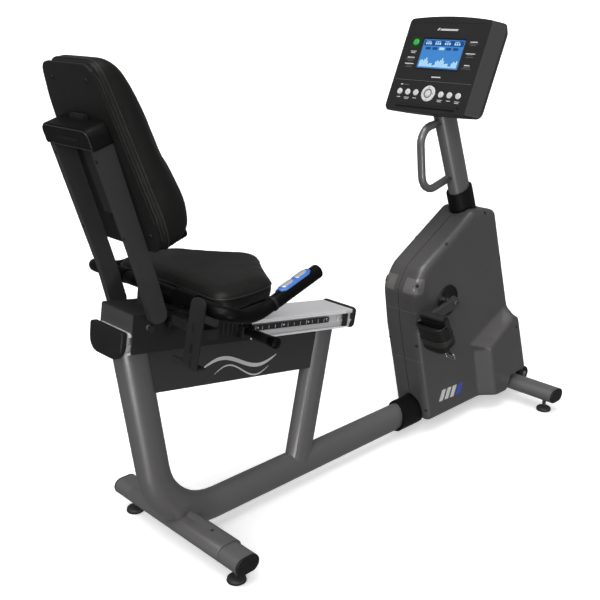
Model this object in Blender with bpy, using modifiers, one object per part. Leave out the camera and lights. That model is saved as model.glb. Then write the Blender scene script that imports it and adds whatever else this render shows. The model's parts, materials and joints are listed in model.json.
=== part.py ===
"""Recumbent exercise bike, metres, +Z up, +X towards the console, +Y the rider's left.

Everything hangs from the empty "bike", which stands over the rear foot bar, so the
positions below are measured forward from that bar and up from the floor. Moving pieces
hang from empties on their joints' axes.
"""
import bmesh
import bpy
import math
from mathutils import Matrix, Vector

# ---------------------------------------------------------------- driving dimensions
GAP = 0.0003                 # clearance kept between touching pieces
REAR_BAR_X = -0.64375
BAR_Z = 0.070                # foot bars: centre height
BAR_WIDTH = 0.075
BAR_HEIGHT = 0.048
BAR_HALF_SPAN = 0.276
BAR_WALL = 0.003
BAR_CAP = 0.006
FRONT_BAR_X = 1.4416
FOOT_Y = 0.228
FOOT_RADIUS = 0.025

TUBE_DEEP = 0.095            # oval frame tube, seen from the side
TUBE_WIDE = 0.060            # and across the bike
TUBE_WALL = 0.003
SPINE_Z = 0.0825
SPINE_END = 1.4035
UPRIGHT_LEAN = math.radians(7.4)
UPRIGHT_X = -0.0600          # where the upright's axis would meet the spine's
SPINE_BEND = 0.195
STRUT_LEAN = math.radians(12.8)
STRUT_FOOT_X = 0.427         # the strut's axis at the spine's axis

RAIL_FALL = math.radians(9.3)
RAIL_REAR = (-0.172, 0.0, 0.674)      # top of the rail at its rear end
RAIL_LENGTH = 0.778
RAIL_HALF = 0.062
RAIL_HEIGHT = 0.054

MAST_LEAN = math.radians(21.4)
MAST_X = 1.162               # the mast's axis passes here
MAST_Z = 0.828
MAST_DEEP = 0.085
MAST_WIDE = 0.058

CONSOLE_FOOT = (0.959, 0.0, 1.083)    # bottom middle of the console's face
CONSOLE_TILT = math.radians(24.1)     # from upright
FACE_HALF = 0.155
FACE_HEIGHT = 0.291
RIM_HALF = 0.182
RIM_BEHIND = 0.036
CONSOLE_DEPTH = 0.060
CONSOLE_WALL = 0.003

CRANK_X = 1.046
CRANK_Z = 0.471
CRANK_LENGTH = 0.170
CRANK_DROP = math.radians(10.5)       # the right arm points back and down by this
ARM_INNER = 0.090
ARM_THICK = 0.014
PEDAL_TILT = math.radians(-117.0)
SHROUD_HALF = 0.070
SHROUD_EDGE = 0.022
SHROUD_WALL = 0.003
BULGE_HALF = 0.115
PULLEY_Y = 0.040
PULLEY_RADIUS = 0.110
ROTOR_RADIUS = 0.022
ALTERNATOR = (1.240, 0.222)           # x, z of the alternator's shaft

BACK_LEAN = math.radians(17.4)
BACK_FOOT = (-0.193, 0.0, 1.119)      # top of the posts, at their front edge
POST_IN = 0.0750
POST_THICK = 0.020
SEAT_TOP = 0.768
SEAT_BASE = 0.7203
HANDLE_RADIUS = 0.016

CARRIAGE_HALF = 0.070
CARRIAGE_TOP = 0.047
CARRIAGE_LOW = -0.051
CARRIAGE_START = 0.012
CARRIAGE_END = 0.380

PARTS = bpy.data.collections.new("recumbent_exercise_bike")
CUTTERS = bpy.data.collections.new("cutters")


# ---------------------------------------------------------------- helpers
def clear_scene():
    for thing in list(bpy.data.objects):
        bpy.data.objects.remove(thing, do_unlink=True)
    bpy.context.scene.collection.children.link(PARTS)
    bpy.context.scene.collection.children.link(CUTTERS)


def material(name, colour, roughness, metallic=0.0):
    made = bpy.data.materials.new(name)
    made.use_nodes = True
    shader = made.node_tree.nodes["Principled BSDF"]
    shader.inputs["Base Color"].default_value = (*colour, 1.0)
    shader.inputs["Roughness"].default_value = roughness
    shader.inputs["Metallic"].default_value = metallic
    made.diffuse_color = (*colour, 1.0)
    return made


def empty(name, place, turn=(0.0, 0.0, 0.0), parent=None):
    made = bpy.data.objects.new(name, None)
    PARTS.objects.link(made)
    made.parent = parent
    made.location = place
    made.rotation_euler = turn
    return made


def put(name, data, finish, parent, place=(0.0, 0.0, 0.0), turn=(0.0, 0.0, 0.0)):
    """Make an object; with no finish it is a hidden cutter."""
    made = bpy.data.objects.new(name, data)
    if finish is None:
        CUTTERS.objects.link(made)
        made.hide_render = True
        made.display_type = 'WIRE'
    else:
        PARTS.objects.link(made)
        data.materials.append(finish)
    made.parent = parent
    made.location = place
    made.rotation_euler = turn
    return made


def box(name, size, place, finish, parent, turn=(0.0, 0.0, 0.0), round_by=0.0, segments=2):
    shape = bmesh.new()
    bmesh.ops.create_cube(shape, size=1.0)
    bmesh.ops.scale(shape, vec=Vector(size), verts=shape.verts)
    mesh = bpy.data.meshes.new(name)
    shape.to_mesh(mesh)
    shape.free()
    made = put(name, mesh, finish, parent, place, turn)
    if round_by > 0.0:
        soften(made, round_by, segments)
    return made


ALONG = {
    'X': (0.0, math.pi / 2, 0.0),
    'Y': (-math.pi / 2, 0.0, 0.0),
    'Z': (0.0, 0.0, 0.0),
}


def cylinder(name, radius, depth, place, finish, parent, along='Z', sides=32, tip=None):
    shape = bmesh.new()
    bmesh.ops.create_cone(shape, cap_ends=True, segments=sides, radius1=radius,
                          radius2=radius if tip is None else tip, depth=depth)
    mesh = bpy.data.meshes.new(name)
    shape.to_mesh(mesh)
    shape.free()
    return put(name, mesh, finish, parent, place, ALONG[along])


def turned(name, profile, place, finish, parent, along='Z', sides=32):
    """A profile of (radius, height) points, outer side from top to bottom."""
    shape = bmesh.new()
    ring = [shape.verts.new((radius, 0.0, height)) for radius, height in profile]
    for first, second in zip(ring, ring[1:]):
        shape.edges.new((first, second))
    if profile[0][0] > 0.0:
        shape.edges.new((ring[-1], ring[0]))
    mesh = bpy.data.meshes.new(name)
    shape.to_mesh(mesh)
    shape.free()
    made = put(name, mesh, finish, parent, place, ALONG[along])
    spin = made.modifiers.new("turn", 'SCREW')
    spin.steps = sides
    spin.render_steps = sides
    spin.use_merge_vertices = True
    spin.merge_threshold = 0.00001
    return made


def soften(thing, width, segments=2, angle=35.0):
    edge = thing.modifiers.new("edges", 'BEVEL')
    edge.width = width
    edge.segments = segments
    edge.limit_method = 'ANGLE'
    edge.angle_limit = math.radians(angle)
    edge.harden_normals = False


def carve(thing, *cutters):
    for cutter in cutters:
        cut = thing.modifiers.new("cut", 'BOOLEAN')
        cut.operation = 'DIFFERENCE'
        cut.solver = 'EXACT'
        cut.object = cutter


def weld_on(thing, *others):
    for other in others:
        join = thing.modifiers.new("join", 'BOOLEAN')
        join.operation = 'UNION'
        join.solver = 'EXACT'
        join.object = other


def fillet(corners, steps=6):
    """Round a path's corners. A corner is a point and its radius."""
    points = [Vector(place) for place, _ in corners]
    path = [points[0]]
    for index in range(1, len(corners) - 1):
        path += bend(points[index - 1], points[index], points[index + 1],
                     corners[index][1], steps)
    path.append(points[-1])
    return path


def bend(before, corner, after, radius, steps):
    if radius <= 0.0:
        return [corner]
    back = (before - corner).normalized()
    on = (after - corner).normalized()
    half = back.angle(on) / 2.0
    reach = radius / math.tan(half)
    middle = corner + (back + on).normalized() * (radius / math.sin(half))
    start = corner + back * reach - middle
    end = corner + on * reach - middle
    swing = start.angle(end)
    arc = []
    for step in range(steps + 1):
        part = step / steps
        arc.append(middle + (start * math.sin((1.0 - part) * swing)
                             + end * math.sin(part * swing)) / math.sin(swing))
    return arc


def outline(corners, steps=4):
    """A closed flat outline of (a, b, corner radius) as 2D points."""
    loop = []
    count = len(corners)
    for index, (a, b, radius) in enumerate(corners):
        before = corners[index - 1]
        after = corners[(index + 1) % count]
        loop += bend(Vector((before[0], before[1], 0.0)), Vector((a, b, 0.0)),
                     Vector((after[0], after[1], 0.0)), radius, steps)
    return [(point.x, point.y) for point in loop]


def inset(loop, distance):
    """Move every point of a closed outline inwards."""
    count = len(loop)
    area = sum(loop[i - 1][0] * loop[i][1] - loop[i][0] * loop[i - 1][1] for i in range(count))
    side = 1.0 if area > 0.0 else -1.0
    moved = []
    for index in range(count):
        here = Vector(loop[index])
        first = (here - Vector(loop[index - 1])).normalized()
        second = (Vector(loop[(index + 1) % count]) - here).normalized()
        normal = Vector((-(first.y + second.y), first.x + second.x)).normalized() * side
        spread = max(0.35, normal.dot(Vector((-first.y, first.x)) * side))
        point = here + normal * (distance / spread)
        moved.append((point.x, point.y))
    return moved


def inset_corners(corners, distance):
    """Move the sides of an outline inwards, before its corners are rounded."""
    count = len(corners)
    area = sum(corners[i - 1][0] * corners[i][1] - corners[i][0] * corners[i - 1][1]
               for i in range(count))
    side = 1.0 if area > 0.0 else -1.0
    moved = []
    for index, (a, b, radius) in enumerate(corners):
        before = corners[index - 1]
        after = corners[(index + 1) % count]
        first = Vector((a - before[0], b - before[1])).normalized()
        second = Vector((after[0] - a, after[1] - b)).normalized()
        normal_1 = Vector((-first.y, first.x)) * side
        normal_2 = Vector((-second.y, second.x)) * side
        shift = (normal_1 + normal_2) * (distance / (1.0 + normal_1.dot(normal_2)))
        turn = (first.x * second.y - first.y * second.x) * side
        if radius > 0.0:
            radius = max(0.0015, radius - distance) if turn > 0.0 else radius + distance
        moved.append((a + shift.x, b + shift.y, radius))
    return moved


def obround(width, height, steps=6):
    """A slot outline, wide along the first axis."""
    radius = height / 2.0 - 0.00001
    side = width / 2.0
    top = height / 2.0
    return outline([(side, -top, radius), (side, top, radius),
                    (-side, top, radius), (-side, -top, radius)], steps)


def circle(radius, sides=32, centre=(0.0, 0.0)):
    turn = 2.0 * math.pi / sides
    return [(centre[0] + radius * math.cos(turn * i), centre[1] + radius * math.sin(turn * i))
            for i in range(sides)]


def to_mesh(curve_object):
    """Turn a placed curve into a welded mesh object of the same name."""
    bpy.context.view_layer.update()
    graph = bpy.context.evaluated_depsgraph_get()
    mesh = bpy.data.meshes.new_from_object(curve_object.evaluated_get(graph))
    shape = bmesh.new()
    shape.from_mesh(mesh)
    bmesh.ops.remove_doubles(shape, verts=shape.verts, dist=0.00001)
    bmesh.ops.recalc_face_normals(shape, faces=shape.faces)
    shape.to_mesh(mesh)
    shape.free()
    name = curve_object.name
    parent = curve_object.parent
    basis = curve_object.matrix_basis.copy()
    home = curve_object.users_collection[0]
    hidden = curve_object.hide_render
    bpy.data.objects.remove(curve_object)
    made = bpy.data.objects.new(name, mesh)
    home.objects.link(made)
    made.parent = parent
    made.matrix_basis = basis
    if hidden:
        made.hide_render = True
        made.display_type = 'WIRE'
    return made


def mirrored(name, source):
    """The finished shape of another piece, the other way round across the bike."""
    bpy.context.view_layer.update()
    graph = bpy.context.evaluated_depsgraph_get()
    mesh = bpy.data.meshes.new_from_object(source.evaluated_get(graph))
    mesh.transform(Matrix.Diagonal((1.0, -1.0, 1.0, 1.0)))
    mesh.flip_normals()
    made = bpy.data.objects.new(name, mesh)
    PARTS.objects.link(made)
    made.parent = source.parent
    made.matrix_basis = source.matrix_basis.copy()
    return made


SIDE_ON = (math.pi / 2, 0.0, 0.0)              # an outline in X and Z, thick along Y
END_ON = (math.pi / 2, 0.0, math.pi / 2)       # an outline in Y and Z, thick along X
FLAT = (0.0, 0.0, 0.0)                         # an outline in X and Y, thick along Z


def plate(name, loops, thickness, place, turn, finish, parent, round_by=0.0):
    """A flat outline, with any further loops as holes, made as thick as asked."""
    curve = bpy.data.curves.new(name, 'CURVE')
    curve.dimensions = '2D'
    curve.fill_mode = 'BOTH'
    curve.extrude = thickness / 2.0 - round_by
    if round_by > 0.0:
        curve.bevel_depth = round_by
        curve.bevel_resolution = 1
        curve.offset = -round_by
    for loop in loops:
        spline = curve.splines.new('POLY')
        spline.points.add(len(loop) - 1)
        for point, (a, b) in zip(spline.points, loop):
            point.co = (a, b, 0.0, 1.0)
        spline.use_cyclic_u = True
    return to_mesh(put(name, curve, finish, parent, place, turn))


def tube(name, path, radius, finish, parent, resolution=4, squeeze=1.0, wall=0.0):
    """A round tube along a path; squeeze makes it oval across Y, wall makes it hollow."""
    curve = bpy.data.curves.new(name, 'CURVE')
    curve.dimensions = '3D'
    curve.fill_mode = 'FULL'
    curve.bevel_depth = radius
    curve.bevel_resolution = resolution
    curve.use_fill_caps = wall == 0.0
    spline = curve.splines.new('POLY')
    spline.points.add(len(path) - 1)
    for point, place in zip(spline.points, path):
        point.co = (*place, 1.0)
    made = to_mesh(put(name, curve, finish, parent))
    made.data.transform(Matrix.Diagonal((1.0, squeeze, 1.0, 1.0)))
    if wall > 0.0:
        skin = made.modifiers.new("wall", 'SOLIDIFY')
        skin.thickness = wall
        skin.offset = -1.0
    return made


def loft(name, loops, finish, parent, place=(0.0, 0.0, 0.0), turn=(0.0, 0.0, 0.0)):
    """A closed solid through rings of points, each ring of the same count."""
    shape = bmesh.new()
    rings = [[shape.verts.new(point) for point in loop] for loop in loops]
    count = len(rings[0])
    for lower, upper in zip(rings, rings[1:]):
        for index in range(count):
            after = (index + 1) % count
            shape.faces.new((lower[index], lower[after], upper[after], upper[index]))
    shape.faces.new(list(reversed(rings[0])))
    shape.faces.new(rings[-1])
    bmesh.ops.recalc_face_normals(shape, faces=shape.faces)
    bmesh.ops.triangulate(shape, faces=[face for face in shape.faces if len(face.verts) > 4])
    mesh = bpy.data.meshes.new(name)
    shape.to_mesh(mesh)
    shape.free()
    return put(name, mesh, finish, parent, place, turn)


def smooth_round_pieces():
    for thing in PARTS.objects:
        if thing.type == 'MESH':
            thing.data.shade_smooth()
            thing.data.set_sharp_from_angle(angle=math.radians(35.0))


# ---------------------------------------------------------------- shared lines
def upright_at(height):
    return UPRIGHT_X - (height - SPINE_Z) * math.tan(UPRIGHT_LEAN)


def strut_at(height):
    return STRUT_FOOT_X + (height - SPINE_Z) * math.tan(STRUT_LEAN)


def mast_at(height):
    return MAST_X - (height - MAST_Z) * math.tan(MAST_LEAN)


def rail_top_at(x):
    return RAIL_REAR[2] - (x - RAIL_REAR[0]) * math.tan(RAIL_FALL)


def oval(name, path, deep, wide, finish, parent, wall=0.0, grow=0.0):
    """An oval tube in the XZ plane, deep seen from the side and wide across the bike."""
    radius = deep / 2.0 + grow
    squeeze = (wide / 2.0 + grow) / radius
    return tube(name, path, radius, finish, parent, 6, squeeze, wall)


# ---------------------------------------------------------------- frame
def spine_path(far_x, top_z):
    return fillet([((upright_at(top_z), 0.0, top_z), 0.0),
                   ((UPRIGHT_X, 0.0, SPINE_Z), SPINE_BEND),
                   ((far_x, 0.0, SPINE_Z), 0.0)], 10)


def strut_path():
    return [(strut_at(0.090), 0.0, 0.090), (strut_at(0.570), 0.0, 0.570)]


def mast_path(low, high):
    return [(mast_at(low), 0.0, low), (mast_at(high), 0.0, high)]


def build_frame(bike, rail_line, look):
    rail_clear = box("rail_clear", (RAIL_LENGTH + 0.2, 0.2, RAIL_HEIGHT + GAP + 0.2),
                     (RAIL_LENGTH / 2, 0.0, 0.1 - (RAIL_HEIGHT + GAP) / 2), None, rail_line)
    bar_clear = plate("bar_clear", [obround(BAR_WIDTH + 2 * GAP, BAR_HEIGHT + 2 * GAP)],
                      0.5, (0.0, 0.0, BAR_Z), SIDE_ON, None, bike)
    mast_clear = oval("mast_clear", mast_path(0.0, 1.25), MAST_DEEP, MAST_WIDE, None, bike,
                      grow=GAP)
    spine_clear = oval("spine_clear", spine_path(1.42, 0.66), TUBE_DEEP, TUBE_WIDE, None, bike,
                       grow=GAP)
    strut_clear = oval("strut_clear", strut_path(), TUBE_DEEP, TUBE_WIDE, None, bike, grow=GAP)

    saddle = plate("saddle", [obround(BAR_WIDTH + 0.010, BAR_HEIGHT + 0.010)], 0.400,
                   (0.0, 0.0, BAR_Z), SIDE_ON, None, bike, round_by=0.001)
    carve(saddle, box("saddle_low", (0.2, 0.5, 0.1), (0.0, 0.0, BAR_Z + 0.002 - 0.05), None, bike))
    main_tube = oval("main_tube", spine_path(SPINE_END, 0.68), TUBE_DEEP, TUBE_WIDE,
                     look["frame"], bike, wall=TUBE_WALL)
    weld_on(main_tube, saddle)
    carve(main_tube, bar_clear, rail_clear, mast_clear)

    strut = oval("seat_strut", strut_path(), TUBE_DEEP, TUBE_WIDE,
                 look["frame"], bike, wall=TUBE_WALL)
    carve(strut, spine_clear, rail_clear)

    build_rail_panel(bike, look, [spine_clear, strut_clear, rail_clear])

    foot_plane = box("mast_foot_clear", (0.3, 0.2, 0.2),
                     (FRONT_BAR_X, 0.0, BAR_Z + BAR_HEIGHT / 2 + 0.006 + GAP - 0.1), None, bike)
    console_plane = console_cutter(bike)
    mast = oval("mast", mast_path(0.06, 1.20), MAST_DEEP, MAST_WIDE, look["frame"], bike,
                wall=TUBE_WALL)
    carve(mast, foot_plane, console_plane)

    grab = tube("grab_handle",
                fillet([((1.105, 0.0, 1.050), 0.0), ((0.951, 0.0, 1.028), 0.052),
                        ((0.976, 0.0, 0.822), 0.052), ((1.160, 0.0, 0.873), 0.0)], 6),
                0.0125, look["frame"], bike, 4)
    carve(grab, mast_clear)

    oval("mast_collar", mast_path(0.700, 0.815), MAST_DEEP + 0.0170, MAST_WIDE + 0.0170,
         look["black"], bike, wall=0.0080)
    collar_line = [(0.885, 0.0, SPINE_Z), (0.990, 0.0, SPINE_Z)]
    oval("spine_collar", collar_line, TUBE_DEEP + 0.0170, TUBE_WIDE + 0.0170,
         look["black"], bike, wall=0.0080)


def build_rail_panel(bike, look, tubes):
    """The folded sheet channel under the rail, between the upright and the strut."""
    sheet = 0.0025
    half = 0.021
    low_rear = (upright_at(0.480), 0.4855)
    low_front = (strut_at(0.385), 0.3845)
    top_rear = (upright_at(0.650), 0.680)
    top_front = (strut_at(0.540), 0.560)
    panel = plate("rail_panel", [[low_rear, low_front, top_front, top_rear]], 2 * half,
                  (0.0, 0.0, 0.0), SIDE_ON, look["panel"], bike)
    fold = [(low_rear[0] - 0.1, low_rear[1] + sheet + 0.0175), (low_front[0] + 0.1,
            low_front[1] + sheet - 0.0175), (top_front[0] + 0.1, 0.64), (top_rear[0] - 0.1, 0.74)]
    inside = plate("panel_inside", [fold], 2 * (half - sheet), (0.0, 0.0, 0.0), SIDE_ON,
                   None, bike)
    carve(panel, inside, *tubes)


def build_rail(rail_line, look):
    wall = 0.003
    right = [(RAIL_HALF, 0.0, 0.003), (RAIL_HALF, -0.011, 0.001), (RAIL_HALF - 0.007, -0.013, 0.0),
             (RAIL_HALF - 0.007, -0.030, 0.0), (RAIL_HALF - 0.001, -0.032, 0.001),
             (RAIL_HALF - 0.007, -0.049, 0.0), (RAIL_HALF - 0.004, -RAIL_HEIGHT, 0.002)]
    section = outline(right + [(-a, b, r) for a, b, r in reversed(right)], 2)
    core = [(RAIL_HALF - 0.007 - wall, -wall, 0.002),
            (RAIL_HALF - 0.008 - wall, wall - RAIL_HEIGHT, 0.002)]
    hollow = outline(core + [(-a, b, r) for a, b, r in reversed(core)], 2)
    plate("seat_rail", [section, hollow], RAIL_LENGTH, (RAIL_LENGTH / 2, 0.0, 0.0), END_ON,
          look["aluminium"], rail_line)
    cap = outline([(0.069, 0.004, 0.008), (-0.069, 0.004, 0.008),
                   (-0.066, -0.068, 0.036), (0.066, -0.068, 0.036)], 5)
    plate("rail_cap_rear", [cap], 0.018, (-0.009 - GAP, 0.0, 0.0), END_ON, look["black"],
          rail_line, round_by=0.004)
    end = outline([(0.066, 0.004, 0.012), (-0.066, 0.004, 0.012),
                   (-0.063, -0.058, 0.014), (0.063, -0.058, 0.014)], 4)
    plate("rail_cap_front", [end], 0.016, (RAIL_LENGTH + 0.008 + GAP, 0.0, 0.0), END_ON,
          look["black"], rail_line, round_by=0.005)


def build_feet(bike, look):
    half = BAR_HALF_SPAN - BAR_CAP - GAP
    ring = [obround(BAR_WIDTH, BAR_HEIGHT),
            obround(BAR_WIDTH - 2 * BAR_WALL, BAR_HEIGHT - 2 * BAR_WALL)]
    profile = [(0.0, BAR_Z - BAR_HEIGHT / 2 - GAP), (0.0065, BAR_Z - BAR_HEIGHT / 2 - GAP),
               (0.0065, 0.0165), (0.016, 0.0150), (FOOT_RADIUS - 0.002, 0.0120),
               (FOOT_RADIUS, 0.0095), (FOOT_RADIUS, 0.0025), (FOOT_RADIUS - 0.002, 0.0),
               (0.0, 0.0)]
    for end, x in (("rear", 0.0), ("front", FRONT_BAR_X)):
        plate(end + "_foot_bar", ring, 2 * half, (x, 0.0, BAR_Z), SIDE_ON, look["frame"], bike)
        for side, sign in (("left", 1.0), ("right", -1.0)):
            plate(end + "_bar_cap_" + side, [obround(BAR_WIDTH, BAR_HEIGHT)], BAR_CAP,
                  (x, sign * (BAR_HALF_SPAN - BAR_CAP / 2), BAR_Z), SIDE_ON, look["black"],
                  bike, round_by=0.002)
            turned(end + "_foot_" + side, profile, (x, sign * FOOT_Y, 0.0), look["rubber"],
                   bike, sides=24)


WHEEL_AT = (1.516, 0.082, 0.078)      # x, half the track, z
WHEEL_RADIUS = 0.027


def build_transport(bike, look):
    """The mast's base plate on the front bar, with the two small wheels' ears."""
    x, track, z = WHEEL_AT
    top = BAR_Z + BAR_HEIGHT / 2
    plate_low = top + GAP
    base = box("front_saddle", (0.0970, 0.142, 0.0057), (1.4525, 0.0, plate_low + 0.00285),
               look["frame"], bike)
    ears = []
    for side, sign in (("left", 1.0), ("right", -1.0)):
        ear = outline([(1.470, plate_low + 0.001, 0.0), (1.484, plate_low + 0.001, 0.0),
                       (x - 0.012, z - 0.012, 0.010), (x + 0.012, z - 0.012, 0.010),
                       (x + 0.012, z + 0.012, 0.010), (1.496, plate_low + 0.005, 0.0),
                       (1.470, plate_low + 0.005, 0.0)], 3)
        ears.append(plate("ear_" + side, [ear], 0.005, (0.0, sign * (track - 0.016), 0.0),
                          SIDE_ON, None, bike))
        ears.append(cylinder("wheel_pin_" + side, 0.0045, 0.034,
                             (x, sign * (track - 0.002), z), None, bike, 'Y', 16))
        rim = [(WHEEL_RADIUS - 0.002, 0.010), (WHEEL_RADIUS, 0.007), (WHEEL_RADIUS, -0.007),
               (WHEEL_RADIUS - 0.002, -0.010), (0.005, -0.010), (0.005, 0.010)]
        turned("transport_wheel_" + side, rim, (x, sign * track, z), look["rubber"], bike,
               'Y', 24)
    weld_on(base, *ears)


# ---------------------------------------------------------------- console
def console_cutter(bike):
    """Everything in front of the plane where the mast's top is cut off."""
    line = empty("console_cut_line", CONSOLE_FOOT, CONSOLE_TURN, bike)
    return box("mast_top_clear", (0.6, 0.8, 0.4), (0.0, 0.1, 0.2 - CONSOLE_DEPTH - GAP), None, line)


CONSOLE_TURN = (math.pi / 2 - CONSOLE_TILT, 0.0, -math.pi / 2)


def console_outline(half, low, high, arch, radius, steps=4):
    """Flat sides, an arched top and a slightly sagging bottom edge."""
    top = [(half * (1 - i / 4), high + arch * (1 - (1 - i / 4) ** 2), 0.0) for i in range(1, 8)]
    sag = arch * 0.5
    bottom = [(half * (i / 4 - 1), low - sag * (1 - (i / 4 - 1) ** 2), 0.0) for i in range(1, 8)]
    corners = ([(half, low, radius), (half, high, radius)] + top
               + [(-half, high, radius), (-half, low, radius)] + bottom)
    return outline(corners, steps)


SCREEN_HALF = 0.0780
SCREEN_LOW = 0.1350
SCREEN_HIGH = 0.2270
KEY_RADIUS = 0.0095
KEY_V = 0.0560
KEY_U = (-0.112, -0.080, -0.048, 0.048, 0.080, 0.112)
RING_RADIUS = 0.0250
SELECT_RADIUS = 0.0085
START_AT = (-0.106, 0.2150)
START_RADIUS = 0.0105
BUTTON_TOP = 0.0025
BUTTON_DEEP = 0.0060


def at_depth(loop, depth):
    return [(a, b, depth) for a, b in loop]


def build_console(bike, look):
    line = empty("console_line", CONSOLE_FOOT, CONSOLE_TURN, bike)
    face = console_outline(FACE_HALF, 0.0, FACE_HEIGHT, 0.010, 0.012)
    rim = console_outline(RIM_HALF, 0.003, FACE_HEIGHT + 0.004, 0.010, 0.016)
    rear = console_outline(RIM_HALF - 0.008, 0.010, FACE_HEIGHT - 0.004, 0.010, 0.020)

    front = loft("console_front", [at_depth(rim, -RIM_BEHIND), at_depth(face, -0.002),
                                   at_depth(inset(face, 0.002), 0.0)], look["console"], line)
    inner_rim = inset(rim, CONSOLE_WALL)
    hollow = loft("front_hollow", [at_depth(inner_rim, -RIM_BEHIND - 0.001),
                                   at_depth(inset(face, CONSOLE_WALL), -CONSOLE_WALL)], None, line)
    holes = [hollow]
    window = outline([(SCREEN_HALF, SCREEN_LOW, 0.003), (SCREEN_HALF, SCREEN_HIGH, 0.003),
                      (-SCREEN_HALF, SCREEN_HIGH, 0.003), (-SCREEN_HALF, SCREEN_LOW, 0.003)], 2)
    holes.append(plate("window", [window], 0.02, (0.0, 0.0, 0.0), FLAT, None, line))
    places = [(u, KEY_V, KEY_RADIUS) for u in KEY_U]
    places += [(0.0, KEY_V, RING_RADIUS), (*START_AT, START_RADIUS)]
    for index, (u, v, radius) in enumerate(places):
        holes.append(cylinder("button_hole_%d" % index, radius + 0.0006, 0.02, (u, v, 0.0),
                              None, line, sides=24))
    carve(front, *holes)

    back = loft("console_back", [at_depth(rear, -CONSOLE_DEPTH), at_depth(rim, -RIM_BEHIND - GAP)],
                look["console"], line)
    room = loft("back_hollow", [at_depth(inset(rear, CONSOLE_WALL), CONSOLE_WALL - CONSOLE_DEPTH),
                                at_depth(inset(rim, CONSOLE_WALL), -RIM_BEHIND + 0.002)],
                None, line)
    carve(back, room)

    plate("console_screen", [inset(window, GAP * 1.5)], 0.0030, (0.0, 0.0, -0.0025), FLAT,
          look["screen"], line)
    low_top = BUTTON_TOP - BUTTON_DEEP
    for index, u in enumerate(KEY_U):
        turned("key_%d" % (index + 1), [(0.0, BUTTON_TOP), (KEY_RADIUS - 0.0015, BUTTON_TOP),
                                        (KEY_RADIUS, BUTTON_TOP - 0.001), (KEY_RADIUS, low_top),
                                        (0.0, low_top)],
               (u, KEY_V, 0.0), look["key"], line, sides=20)
    turned("start_button", [(0.0, BUTTON_TOP), (START_RADIUS - 0.0015, BUTTON_TOP),
                            (START_RADIUS, BUTTON_TOP - 0.001), (START_RADIUS, low_top),
                            (0.0, low_top)],
           (*START_AT, 0.0), look["start"], line, sides=20)
    turned("ring_button", [(RING_RADIUS - 0.0015, BUTTON_TOP), (RING_RADIUS, BUTTON_TOP - 0.001),
                           (RING_RADIUS, low_top), (SELECT_RADIUS + 0.0006, low_top),
                           (SELECT_RADIUS + 0.0006, BUTTON_TOP)],
           (0.0, KEY_V, 0.0), look["key"], line, sides=32)
    turned("select_button", [(0.0, BUTTON_TOP), (SELECT_RADIUS - 0.001, BUTTON_TOP),
                             (SELECT_RADIUS, BUTTON_TOP - 0.001), (SELECT_RADIUS, low_top),
                             (0.0, low_top)],
           (0.0, KEY_V, 0.0), look["key"], line, sides=20)


# ---------------------------------------------------------------- drive housing
def shroud_corners():
    return [
        (1.292, 0.736, 0.022), (1.172, 0.756, 0.030), (0.915, 0.604, 0.080),
        (0.872, 0.535, 0.050), (0.893, 0.400, 0.0), (0.979, 0.050, 0.020),
        (1.377, 0.050, 0.020), (1.397, 0.108, 0.010), (1.500, 0.113, 0.014),
        (1.404, 0.392, 0.0)]


BULGE_ROOT = [
    (1.255, 0.061, 0.004), (1.374, 0.061, 0.010), (1.392, 0.1125, 0.006), (1.489, 0.1175, 0.010),
    (1.424, 0.330, 0.016), (1.392, 0.376, 0.016), (1.178, 0.277, 0.004), (1.205, 0.256, 0.006)]
BULGE_CREST = [
    (1.308, 0.061, 0.004), (1.374, 0.061, 0.010), (1.392, 0.1125, 0.006), (1.484, 0.1175, 0.010),
    (1.410, 0.336, 0.016), (1.383, 0.340, 0.016), (1.268, 0.268, 0.008), (1.258, 0.256, 0.006)]


def bulge_corners(flare):
    """The raised lower front; flare 0 is its root on the side face, 1 its outer face."""
    return [(a + (c - a) * flare, b + (d - b) * flare, r)
            for (a, b, r), (c, d, _) in zip(BULGE_ROOT, BULGE_CREST)]


def upright_ring(corners, distance, y):
    """An XZ outline moved inwards, as a ring of points at y."""
    return [(x, y, z) for x, z in outline(inset_corners(corners, distance), 4)]


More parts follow.
